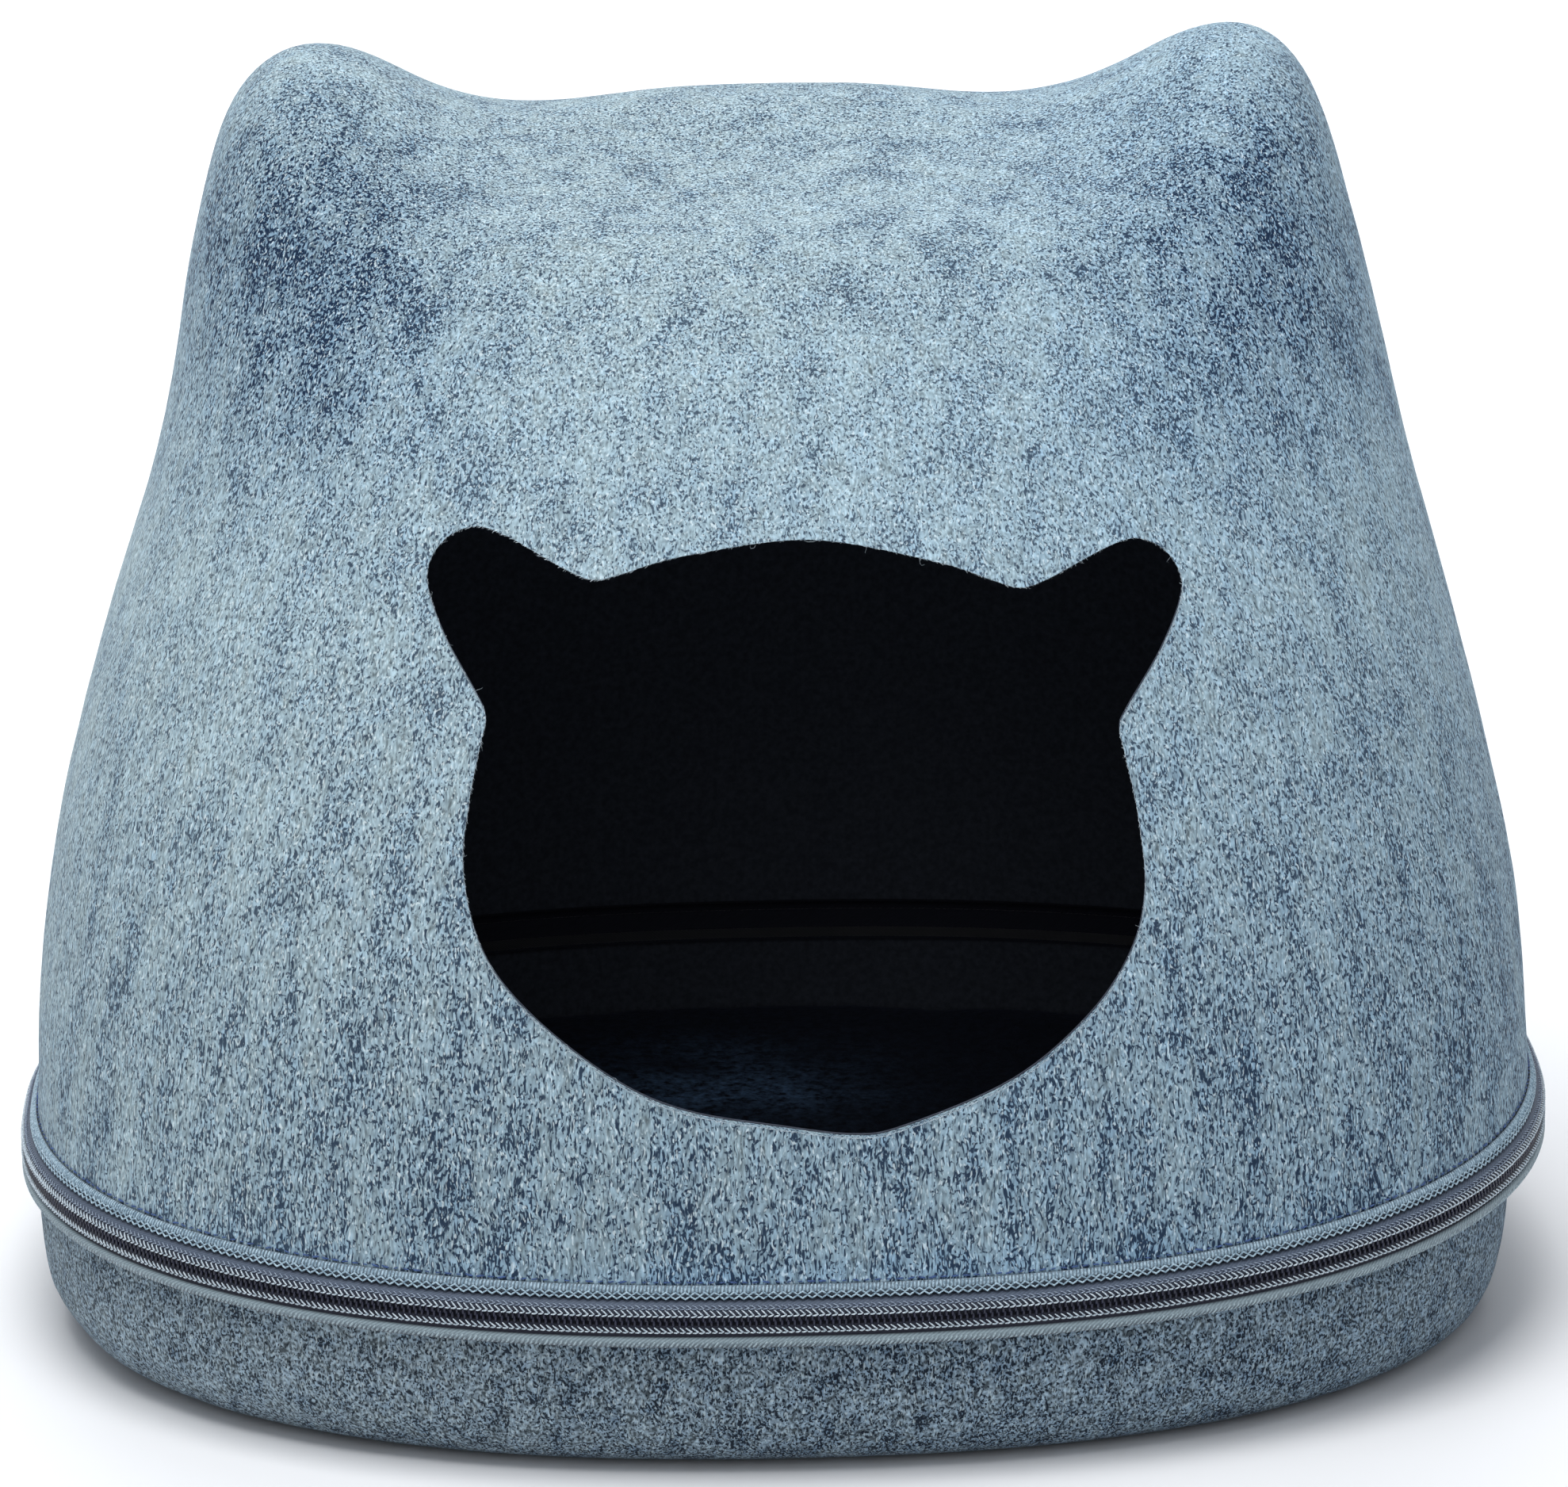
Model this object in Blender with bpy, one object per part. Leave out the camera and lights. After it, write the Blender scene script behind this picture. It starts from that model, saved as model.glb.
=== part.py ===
"""Felt cat cave: a moulded felt hood with two blunt ears, zipped all round to a shallow felt tray.

Metres, +Z up.  The origin is the centre of the base, on the surface the cave rests on.
X runs to the right of someone who faces the entrance, and the entrance looks along -Y.
Every wall is lofted through a short table of level outlines, from its lowest one upwards.
"""
import math

import bmesh
import bpy
import numpy as np
from mathutils import Vector

# ---------------------------------------------------------------- driving dimensions
AROUND = 56                  # facets round every outline
GAP = 0.0003                 # between pieces that touch
FELT = 0.0030                # thickness of the moulded felt
LINING = 0.0010              # thickness of the dark lining
LINING_SET = FELT + 2 * GAP  # from the felt's outer face to the lining's

WIDEST_Y = -0.0235           # the base outline is widest here, a little in front of its middle
FRONT_POWER, BACK_POWER = 2.27, 2.45   # 2 is an ellipse, more is squarer

# Outlines of the hood: height, half width, foremost y, rearmost y, y of the widest line,
# squareness in front and behind
HOOD_OUTLINES = (
    (0.0586, 0.2339, -0.2045, 0.2045, WIDEST_Y, FRONT_POWER, BACK_POWER),
    (0.1000, 0.2318, -0.2030, 0.2040, -0.0225, 2.22, 2.45),
    (0.1450, 0.2264, -0.1960, 0.2010, -0.0195, 2.20, 2.42),
    (0.1900, 0.2172, -0.1835, 0.1955, -0.0150, 2.20, 2.40),
    (0.2350, 0.2059, -0.1655, 0.1865, -0.0090, 2.22, 2.38),
    (0.2800, 0.1931, -0.1415, 0.1735, -0.0020, 2.25, 2.35),
    (0.3200, 0.1802, -0.1130, 0.1560, 0.0050, 2.30, 2.35),
    (0.3480, 0.1643, -0.0820, 0.1320, 0.0110, 2.35, 2.35),
    (0.3578, 0.1361, -0.0500, 0.1000, 0.0150, 2.35, 2.35),
    (0.3663, 0.0906, -0.0190, 0.0620, 0.0180, 2.25, 2.25),
    (0.3754, 0.0383, 0.0060, 0.0340, 0.0200, 2.10, 2.10),
)
HOOD_STEPS = (1, 1, 1, 1, 2, 2, 3, 2, 2, 1)   # loft steps between one outline and the next
HOOD_TOP = (0.0, 0.0200, 0.3767)
LINING_FOOT = 0.0612         # the lining stops a little above the felt's lower edge

# Ears: side, x and y of the tip, spread sideways and fore and aft, height above the crown
EARS = (
    (-1, 0.1452, 0.0145, 0.0444, 0.060, 0.0375),
    (1, 0.1501, 0.0145, 0.0470, 0.060, 0.0396),
)
EAR_FOOT, EAR_FULL = 0.24, 0.345   # the lift of the ears grows between these heights

# A soft hollow in the left flank: its bearing, height, depth, spread round and up
HOLLOW_BEARING, HOLLOW_HEIGHT = math.pi, 0.272
HOLLOW_DEPTH, HOLLOW_ROUND, HOLLOW_UP = 0.0055, math.radians(30.0), 0.059

# The zip's seam isn't level: it rises towards both sides, and more at the right.  The rise
# grows up the tray between the first two heights and dies out up the hood between the others
RISE_LEFT, RISE_RIGHT, RISE_POWER = 0.0050, 0.0120, 4.4
RISE_START, RISE_FULL = 0.0060, 0.0440
RISE_KEPT, RISE_GONE = 0.0626, 0.2200

# Entrance: half of a plain cat's head, across and up from the centre of the head
HEAD_HALF = (
    (0.0365, 0.0787),     # brow
    (0.0560, 0.0728),
    (0.0630, 0.0711),     # dip between brow and ear
    (0.0710, 0.0730),
    (0.0900, 0.0811),
    (0.1000, 0.0824),     # tip of the ear
    (0.1088, 0.0771),
    (0.1126, 0.0672),
    (0.1068, 0.0525),
    (0.0957, 0.0360),
    (0.0934, 0.0308),     # nick where ear meets cheek
    (0.0950, 0.0240),
    (0.0992, 0.0065),
    (0.1013, -0.0140),    # cheek
    (0.0906, -0.0420),
    (0.0605, -0.0675),    # jaw
    (0.0395, -0.0769),
)
BROW_TOP, CHIN = 0.0835, -0.0827
CHIN_DRIFT = 0.0150          # the chin is lowest a little right of the middle
JAW_WIDER = 0.0028           # the jaw is this much fuller at the right, below JAW_START
JAW_START, JAW_FULL = -0.0120, -0.0600
HEAD_AT = (0.0023, 0.191)    # x and z of the centre of the head
HEAD_TILT = math.radians(-2.2)
LONG_SPAN = 0.012            # a longer stretch of the outline is drawn in two steps
CUT_FROM, CUT_TO = -0.26, -0.06   # the cut goes through the front wall alone

# Outlines of the tray, in the hood's columns; it sits a little left of the hood
TRAY_OUTLINES = (
    (0.0000, 0.2085, -0.1805, 0.1805, WIDEST_Y, FRONT_POWER, BACK_POWER),
    (0.0015, 0.2160, -0.1880, 0.1880, WIDEST_Y, FRONT_POWER, BACK_POWER),
    (0.0060, 0.2230, -0.1950, 0.1950, WIDEST_Y, FRONT_POWER, BACK_POWER),
    (0.0160, 0.2285, -0.2005, 0.2005, WIDEST_Y, FRONT_POWER, BACK_POWER),
    (0.0300, 0.2308, -0.2027, 0.2027, WIDEST_Y, FRONT_POWER, BACK_POWER),
    (0.0455, 0.2312, -0.2030, 0.2030, WIDEST_Y, FRONT_POWER, BACK_POWER),
)
TRAY_FOOT_SHIFT, TRAY_RIM_SHIFT = -0.0010, -0.0030   # how far right of the middle its foot and rim lie
LEAN_TOP = 0.0160            # the shift grows up to this height
TRAY_LINING_RIM = 0.0440

# Floor pad: height, and how far in from the tray's outer face; its crown closes at the top
PAD_SIDE = (
    (0.0053, 0.0213),
    (0.0090, 0.0133),
    (0.0174, 0.0087),
    (0.0240, 0.0090),
    (0.0280, 0.0128),
    (0.0300, 0.0245),
    (0.0310, 0.0550),
)
PAD_TOP = 0.0315

# Sections of the zip's rings: out from the hood's lower outline, and height
BRAID = ((0.0003, 0.0589), (0.0017, 0.0589), (0.0020, 0.0594), (0.0013, 0.0620), (0.0003, 0.0626))
UPPER_TAPE = ((-0.0030, 0.0573), (0.0011, 0.0573), (0.0034, 0.0551), (0.0037, 0.0539),
              (0.0048, 0.0539), (0.0045, 0.0556), (0.0017, 0.0583), (-0.0030, 0.0583))
UPPER_COIL = ((0.0034, 0.0528), (0.0051, 0.0528), (0.0051, 0.0536), (0.0034, 0.0536))
LOWER_COIL = ((0.0034, 0.0517), (0.0051, 0.0517), (0.0051, 0.0525), (0.0034, 0.0525))
LOWER_TAPE = ((-0.0090, 0.0458), (0.0033, 0.0458), (0.0033, 0.0442), (0.0043, 0.0442),
              (0.0049, 0.0470), (0.0049, 0.0514), (0.0038, 0.0514), (0.0038, 0.0468), (-0.0090, 0.0468))

SHARP_ANGLE = math.radians(40.0)   # an edge that turns more than this isn't shaded smooth
TINY = 1e-6                        # keeps a bearing defined at the very top

# Finishes: colour (linear), roughness
FINISHES = {
    "grey_felt": ((0.30, 0.36, 0.41), 0.95),
    "dark_lining": ((0.010, 0.013, 0.020), 0.95),
    "dark_plush": ((0.012, 0.018, 0.035), 1.00),
    "ribbed_braid": ((0.28, 0.35, 0.40), 0.80),
    "zip_tape": ((0.09, 0.11, 0.15), 0.85),
    "zip_coil": ((0.015, 0.017, 0.028), 0.45),
}


# ---------------------------------------------------------------- outlines and lofts
def curve_between(p0, p1, p2, p3, t):
    """A point at t of the way from p1 to p2, on the smooth curve that also passes p0 and p3."""
    return 0.5 * (2.0 * p1 + (p2 - p0) * t + (2.0 * p0 - 5.0 * p1 + 4.0 * p2 - p3) * t ** 2
                  + (3.0 * p1 - p0 - 3.0 * p2 + p3) * t ** 3)


def smooth_table(rows, steps):
    """Rows between the given ones, on a curve through them, with the given steps per row."""
    rows = np.array(rows, dtype=float)
    before = 2.0 * rows[0] - rows[1]
    after = 2.0 * rows[-1] - rows[-2]
    known = np.vstack([before, rows, after])
    made = []
    for index, count in enumerate(steps):
        for step in range(count):
            made.append(curve_between(*known[index:index + 4], step / count))
    made.append(rows[-1])
    return made


def outline(row, shift=0.0):
    """Points round one level outline, anticlockwise seen from above."""
    height, half_width, front, back, middle, front_power, back_power = row
    points = []
    for index in range(AROUND):
        angle = 2.0 * math.pi * index / AROUND
        along, across = math.cos(angle), math.sin(angle)
        power = 2.0 / (front_power if across < 0.0 else back_power)
        reach = middle - front if across < 0.0 else back - middle
        x = shift + half_width * math.copysign(abs(along) ** power, along)
        y = middle + reach * math.copysign(abs(across) ** power, across)
        points.append(Vector((x, y, height)))
    return points


def set_out(points, distance):
    """A level outline moved out along its own normals, or in where the distance is negative."""
    moved = []
    for index, point in enumerate(points):
        along = points[(index + 1) % len(points)] - points[index - 1]
        moved.append(point + Vector((along.y, -along.x, 0.0)).normalized() * distance)
    return moved


def smooth_share(value, start, end):
    """How far a value has come from start to end, from 0 to 1, in a smooth step."""
    share = min(max((value - start) / (end - start), 0.0), 1.0)
    return share * share * (3.0 - 2.0 * share)


def raised(point):
    """A point of any wall or ring, lifted with the seam's rise towards the sides."""
    radius = max(math.hypot(point.x, point.y), TINY)
    most = RISE_LEFT if point.x < 0.0 else RISE_RIGHT
    fade = smooth_share(point.z, RISE_START, RISE_FULL) * (1.0 - smooth_share(point.z, RISE_KEPT, RISE_GONE))
    return point + Vector((0.0, 0.0, most * abs(point.x / radius) ** RISE_POWER * fade))


def pressed(point):
    """A point of the hood with the hollow in its left flank, the lift of its ears and the seam's rise."""
    bearing = math.atan2(point.y, point.x) - HOLLOW_BEARING
    bearing = (bearing + math.pi) % (2.0 * math.pi) - math.pi
    hollow = HOLLOW_DEPTH * math.exp(-(bearing / HOLLOW_ROUND) ** 2
                                     - ((point.z - HOLLOW_HEIGHT) / HOLLOW_UP) ** 2)
    radius = max(math.hypot(point.x, point.y), TINY)
    x, y = point.x * (1.0 - hollow / radius), point.y * (1.0 - hollow / radius)
    share = smooth_share(point.z, EAR_FOOT, EAR_FULL)
    lift = sum(height * share * math.exp(-((x - side * tip_x) / wide) ** 2 - ((y - tip_y) / deep) ** 2)
               for side, tip_x, tip_y, wide, deep, height in EARS)
    return raised(Vector((x, y, point.z + lift)))


def add_object(name, bm, finish):
    """Puts a bmesh in the scene as one named object with one material."""
    bm.normal_update()
    mesh = bpy.data.meshes.new(name)
    bm.to_mesh(mesh)
    bm.free()
    mesh.shade_smooth()
    mesh.set_sharp_from_angle(angle=SHARP_ANGLE)
    colour, roughness = FINISHES[finish]
    material = bpy.data.materials.get(finish) or bpy.data.materials.new(finish)
    material.use_nodes = True
    shader = material.node_tree.nodes["Principled BSDF"]
    shader.inputs["Base Color"].default_value = (*colour, 1.0)
    shader.inputs["Roughness"].default_value = roughness
    shader.inputs["Metallic"].default_value = 0.0
    mesh.materials.append(material)
    made = bpy.data.objects.new(name, mesh)
    bpy.context.scene.collection.objects.link(made)
    return made


def skin(rings, cap_first=None, cap_last=None):
    """A surface through rings of points from the lowest up, closed by a fan where a cap is given."""
    bm = bmesh.new()
    grid = [[bm.verts.new(point) for point in ring] for ring in rings]
    for lower, upper in zip(grid, grid[1:]):
        for index in range(len(lower)):
            after = (index + 1) % len(lower)
            bm.faces.new((lower[index], lower[after], upper[after], upper[index]))
    for cap, ring, order in ((cap_first, grid[0], -1), (cap_last, grid[-1], 1)):
        if cap is not None:
            centre = bm.verts.new(cap)
            for index in range(len(ring)):
                pair = (ring[index], ring[(index + 1) % len(ring)])[::order]
                bm.faces.new((*pair, centre))
    bm.normal_update()
    return bm


def move_in(bm, distance):
    """Moves every point of a surface inwards, across the surface."""
    bm.normal_update()
    places = [(vertex, vertex.co - vertex.normal * distance) for vertex in bm.verts]
    for vertex, place in places:
        vertex.co = place


def give_thickness(made, thickness):
    """Gives an open surface its thickness, on its inner side."""
    solidify = made.modifiers.new("thickness", "SOLIDIFY")
    solidify.thickness = thickness
    solidify.offset = -1.0
    solidify.use_even_offset = True
    solidify.use_rim = True


def ring_solid(name, section, finish):
    """A closed ring: one section carried round the hood's lower outline."""
    base = outline(HOOD_OUTLINES[0])
    loops = []
    for out, height in section:
        loops.append([raised(Vector((point.x, point.y, height))) for point in set_out(base, out)])
    bm = bmesh.new()
    grid = [[bm.verts.new(point) for point in loop] for loop in loops]
    for lower, upper in zip(grid, grid[1:] + grid[:1]):
        for index in range(AROUND):
            after = (index + 1) % AROUND
            bm.faces.new((lower[index], lower[after], upper[after], upper[index]))
    bmesh.ops.recalc_face_normals(bm, faces=bm.faces)
    return add_object(name, bm, finish)


# ---------------------------------------------------------------- pieces
def head_outline():
    """The entrance as a smooth closed curve, anticlockwise seen from the front, as (x, z) pairs."""
    fuller = [(across + JAW_WIDER * smooth_share(up, JAW_START, JAW_FULL), up) for across, up in HEAD_HALF]
    right = [(0.0, BROW_TOP), *fuller, (CHIN_DRIFT, CHIN)]
    left = [(-across, up) for across, up in reversed(HEAD_HALF)]
    corners = np.array((right + left)[::-1])
    count = len(corners)
    cosine, sine = math.cos(HEAD_TILT), math.sin(HEAD_TILT)
    curve = []
    for index in range(count):
        near = [corners[(index + step) % count] for step in (-1, 0, 1, 2)]
        steps = 2 if np.linalg.norm(near[2] - near[1]) > LONG_SPAN else 1
        for step in range(steps):
            across, up = curve_between(*near, step / steps)
            curve.append((HEAD_AT[0] + across * cosine - up * sine,
                          HEAD_AT[1] + across * sine + up * cosine))
    return curve


def entrance_cutter():
    """A prism of the entrance's outline, run fore and aft through the front wall."""
    bm = bmesh.new()
    near = bm.faces.new([bm.verts.new((x, CUT_FROM, z)) for x, z in head_outline()])
    made = bmesh.ops.extrude_face_region(bm, geom=[near])
    far = [item for item in made["geom"] if isinstance(item, bmesh.types.BMVert)]
    bmesh.ops.translate(bm, verts=far, vec=(0.0, CUT_TO - CUT_FROM, 0.0))
    bmesh.ops.recalc_face_normals(bm, faces=bm.faces)
    cutter = add_object("entrance_cutter", bm, "grey_felt")
    cutter.hide_render = True
    cutter.display_type = "WIRE"
    return cutter


def hood_surface(foot):
    """The hood's outer surface, open at its lower edge, which lies at the given height."""
    rows = smooth_table(HOOD_OUTLINES, HOOD_STEPS)
    rows[0][0] = foot
    rings = [[pressed(point) for point in outline(row)] for row in rows]
    return skin(rings, cap_last=pressed(Vector(HOOD_TOP)))


def cut_entrance(made, cutter):
    """Cuts the entrance through a wall of the hood."""
    cut = made.modifiers.new("entrance", "BOOLEAN")
    cut.operation = "DIFFERENCE"
    cut.object = cutter
    cut.solver = "EXACT"


def build_hood():
    """The moulded felt hood and its dark lining, with the entrance cut through both."""
    cutter = entrance_cutter()
    felt = add_object("hood_felt", hood_surface(HOOD_OUTLINES[0][0]), "grey_felt")
    give_thickness(felt, FELT)
    cut_entrance(felt, cutter)
    inner = hood_surface(LINING_FOOT)
    move_in(inner, LINING_SET)
    lining = add_object("hood_lining", inner, "dark_lining")
    give_thickness(lining, LINING)
    cut_entrance(lining, cutter)


def tray_shift(height):
    """How far right of the hood's middle the tray's outline lies at a height."""
    share = min(height / LEAN_TOP, 1.0)
    return TRAY_FOOT_SHIFT + (TRAY_RIM_SHIFT - TRAY_FOOT_SHIFT) * share


def tray_surface(rim):
    """The tray's outer surface, open at its rim, which lies at the given height."""
    rows = [list(row) for row in TRAY_OUTLINES]
    rows[-1][0] = rim
    rings = [[raised(point) for point in outline(row, tray_shift(row[0]))] for row in rows]
    return skin(rings, cap_first=Vector((TRAY_FOOT_SHIFT, 0.0, 0.0)))


def build_tray():
    """The moulded felt tray and its lining."""
    felt = add_object("tray_felt", tray_surface(TRAY_OUTLINES[-1][0]), "grey_felt")
    give_thickness(felt, FELT)
    inner = tray_surface(TRAY_LINING_RIM)
    move_in(inner, LINING_SET)
    lining = add_object("tray_lining", inner, "dark_lining")
    give_thickness(lining, LINING)


def build_pad():
    """The plush pad on the tray's floor: one filled body with a low crown."""
    rings = []
    for height, inset in PAD_SIDE:
        ring = set_out(outline(TRAY_OUTLINES[-2], tray_shift(height)), -inset)
        rings.append([Vector((point.x, point.y, height)) for point in ring])
    foot, top = (Vector((tray_shift(height), 0.0, height)) for height in (PAD_SIDE[0][0], PAD_TOP))
    add_object("floor_pad", skin(rings, cap_first=foot, cap_last=top), "dark_plush")


def build_zip():
    """The ribbed braid, the two tapes and the two coils of the zip that runs all round."""
    ring_solid("hood_braid", BRAID, "ribbed_braid")
    ring_solid("zip_tape_upper", UPPER_TAPE, "zip_tape")
    ring_solid("zip_coil_upper", UPPER_COIL, "zip_coil")
    ring_solid("zip_coil_lower", LOWER_COIL, "zip_coil")
    ring_solid("zip_tape_lower", LOWER_TAPE, "zip_tape")


def main():
    """Clears the scene and builds every piece."""
    for old in list(bpy.data.objects):
        bpy.data.objects.remove(old)
    build_hood()
    build_tray()
    build_pad()
    build_zip()


main()
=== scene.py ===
"""Looks of a felt cat cave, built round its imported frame.

A moulded hood of heathered felt with two blunt ears and a cat-head-shaped entrance is joined by a
zip all round to a shallow felt tray, which holds a plush pad.  Metres, +Z up; the entrance looks
along -Y and +X is to the right of someone who faces it.
"""
import logging
import math
from dataclasses import dataclass
from enum import Enum

import bmesh
import bpy
import numpy as np
from mathutils import Matrix, Vector, noise
from mathutils.bvhtree import BVHTree


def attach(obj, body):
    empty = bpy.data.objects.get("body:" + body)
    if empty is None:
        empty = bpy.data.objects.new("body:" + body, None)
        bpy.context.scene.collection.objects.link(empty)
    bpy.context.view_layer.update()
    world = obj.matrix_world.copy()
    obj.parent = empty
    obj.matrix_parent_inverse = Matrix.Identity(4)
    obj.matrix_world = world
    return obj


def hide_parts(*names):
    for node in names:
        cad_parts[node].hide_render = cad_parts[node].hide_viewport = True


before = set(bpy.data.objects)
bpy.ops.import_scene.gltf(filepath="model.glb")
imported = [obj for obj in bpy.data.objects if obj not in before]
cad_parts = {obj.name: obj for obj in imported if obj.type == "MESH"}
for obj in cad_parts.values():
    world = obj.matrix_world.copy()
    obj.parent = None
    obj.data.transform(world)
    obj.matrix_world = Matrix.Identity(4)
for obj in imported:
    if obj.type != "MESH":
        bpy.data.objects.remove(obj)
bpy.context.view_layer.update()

BODY = "root"                     # the cave is one body
MM = 0.001
TINY = 1e-9                       # keeps a division from failing

log = logging.getLogger("cat_cave")
Points = np.ndarray
Socket = bpy.types.NodeSocket


class Slot(Enum):
    """The record's material slots."""

    FELT = "grey_felt"
    LINING = "dark_lining"
    PLUSH = "dark_plush"
    BRAID = "ribbed_braid"
    TAPE = "zip_tape"
    COIL = "zip_coil"


class Held(Enum):
    """How a sheet is held in its form."""

    STRETCHED = "stretched"
    FOLDED = "folded"


# ---------------------------------------------------------------- small tools
def linear(hex_colour: str) -> tuple[float, float, float, float]:
    """Turns an sRGB hex colour into a linear one.

    Args:
        hex_colour: six hex digits.

    Returns:
        Red, green, blue and alpha, linear.
    """
    parts = [int(hex_colour[start:start + 2], 16) / 255.0 for start in (0, 2, 4)]
    return (*[part / 12.92 if part <= 0.04045 else ((part + 0.055) / 1.055) ** 2.4 for part in parts], 1.0)


def set_inputs(tree: bpy.types.NodeTree, node: bpy.types.Node, inputs: dict) -> None:
    """Links or stores a node's inputs.

    Args:
        tree: the tree it is in.
        node: the node.
        inputs: a value or another node's output for each input, by its name or number.
    """
    for key, value in inputs.items():
        if isinstance(value, Socket):
            tree.links.new(value, node.inputs[key])
        else:
            node.inputs[key].default_value = value


def add_node(tree: bpy.types.NodeTree, kind: str, inputs: dict | None = None,
             **settings: object) -> bpy.types.Node:
    """Adds a node with its settings and links.

    Args:
        tree: the tree it goes in.
        kind: the node's type.
        inputs: a value or another node's output for each input, by its name or number.
        settings: the node's own properties.

    Returns:
        The new node.
    """
    node = tree.nodes.new(kind)
    for name, value in settings.items():
        setattr(node, name, value)
    set_inputs(tree, node, inputs or {})
    return node


def smooth_share(value: Points | float, start: float, end: float) -> Points:
    """Gives how far a value has come from start to end, from 0 to 1, in a smooth step."""
    share = np.clip((np.asarray(value, dtype=float) - start) / (end - start), 0.0, 1.0)
    return share * share * (3.0 - 2.0 * share)


def hump(value: Points | float, middle: float, reach: float) -> Points:
    """Gives a share that is 1 at the middle and fades smoothly over the reach."""
    return np.exp(-((value - middle) / reach) ** 2)


def curve_between(p0: Points, p1: Points, p2: Points, p3: Points, t: float) -> Points:
    """Gives the point at t of the way from p1 to p2, on the smooth curve that also passes p0 and p3."""
    return 0.5 * (2.0 * p1 + (p2 - p0) * t + (2.0 * p0 - 5.0 * p1 + 4.0 * p2 - p3) * t ** 2
                  + (3.0 * p1 - p0 - 3.0 * p2 + p3) * t ** 3)


def smooth_rows(known: Points, steps: tuple[int, ...]) -> Points:
    """Draws a smooth curve through a table's rows.

    Args:
        known: the rows, with one more before the first and one more after the last.
        steps: how many steps there are from each row to the next.

    Returns:
        The denser table.
    """
    made = [curve_between(*known[index:index + 4], step / count)
            for index, count in enumerate(steps) for step in range(count)]
    return np.array(made + [known[-2]])


def unit(vectors: Points) -> Points:
    """Scales vectors to a length of one."""
    return vectors / np.maximum(np.linalg.norm(vectors, axis=-1, keepdims=True), TINY)


def level_normals(ring: Points) -> Points:
    """Gives the level outward normals of a level ring that runs anticlockwise."""
    along = unit(np.roll(ring, -1, axis=0) - np.roll(ring, 1, axis=0))
    return np.stack([along[:, 1], -along[:, 0], np.zeros(len(ring))], axis=-1)


def grid_normals(rings: Points) -> Points:
    """Gives the outward normal at each point of a grid of rings that run anticlockwise and upwards."""
    round_it = np.roll(rings, -1, axis=1) - np.roll(rings, 1, axis=1)
    return unit(np.cross(round_it, np.gradient(rings, axis=0)))


def uneven(points: Points, width: float, seed: float) -> Points:
    """Gives a smooth random value from -1 to 1 at each point.

    Args:
        points: places, in metres.
        width: the size of the lumps, in metres.
        seed: an offset that makes one pattern differ from another.

    Returns:
        One value a point, in the shape of the points without their last axis.
    """
    flat = points.reshape(-1, 3) / width + seed
    return np.array([noise.noise(Vector(point)) for point in flat]).reshape(points.shape[:-1])


def mesh_of(name: str, points: Points | list, faces: list, edges: tuple | list = ()) -> bpy.types.Mesh:
    """Makes a mesh.

    Args:
        name: the mesh's name.
        points: its points, in metres.
        faces: its faces, as tuples of point numbers.
        edges: its loose edges, likewise.

    Returns:
        The mesh.
    """
    mesh = bpy.data.meshes.new(name)
    mesh.from_pydata(np.asarray(points, dtype=float).tolist(), edges, faces)
    return mesh


def turn_outward(mesh: bpy.types.Mesh) -> None:
    """Turns a closed mesh's faces outwards.

    Args:
        mesh: the mesh, which is changed.
    """
    work = bmesh.new()
    work.from_mesh(mesh)
    bmesh.ops.recalc_face_normals(work, faces=work.faces)
    work.to_mesh(mesh)
    work.free()


def new_object(name: str, mesh: bpy.types.Mesh, material: bpy.types.Material | None = None,
               sharp_degrees: float = 45.0) -> bpy.types.Object:
    """Puts a mesh in the scene as a smooth-shaded object at the origin.

    Args:
        name: the object's name.
        mesh: its mesh, in the frame's own metres.
        material: its finish.
        sharp_degrees: an edge that turns more than this is shaded sharp.

    Returns:
        The object.
    """
    mesh.shade_smooth()
    mesh.set_sharp_from_angle(angle=math.radians(sharp_degrees))
    if material is not None:
        mesh.materials.clear()
        mesh.materials.append(material)
    made = bpy.data.objects.new(name, mesh)
    bpy.context.scene.collection.objects.link(made)
    return made


def settled_mesh(made: bpy.types.Object) -> bpy.types.Mesh:
    """Gives an object's mesh with its modifiers applied."""
    bpy.context.view_layer.update()
    return bpy.data.meshes.new_from_object(made.evaluated_get(bpy.context.evaluated_depsgraph_get()))


def ring_faces(rows: int, around: int, start: int = 0, flip: bool = False, closed: bool = False) -> list:
    """Gives the quads of a grid of rings.

    Args:
        rows: how many rings.
        around: points in a ring.
        start: the number of the first point.
        flip: turns the faces over.
        closed: joins the last ring to the first.

    Returns:
        Faces as tuples of point numbers.
    """
    faces = []
    for row in range(rows if closed else rows - 1):
        low, high = start + row * around, start + (row + 1) % rows * around
        for index in range(around):
            after = (index + 1) % around
            face = (low + index, low + after, high + after, high + index)
            faces.append(face[::-1] if flip else face)
    return faces


def fan_faces(ring_start: int, around: int, pole: int, flip: bool = False) -> list:
    """Gives the triangles that close a ring with a pole above it, or below it where they are flipped."""
    faces = [(ring_start + index, ring_start + (index + 1) % around, pole) for index in range(around)]
    return [face[::-1] for face in faces] if flip else faces


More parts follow.
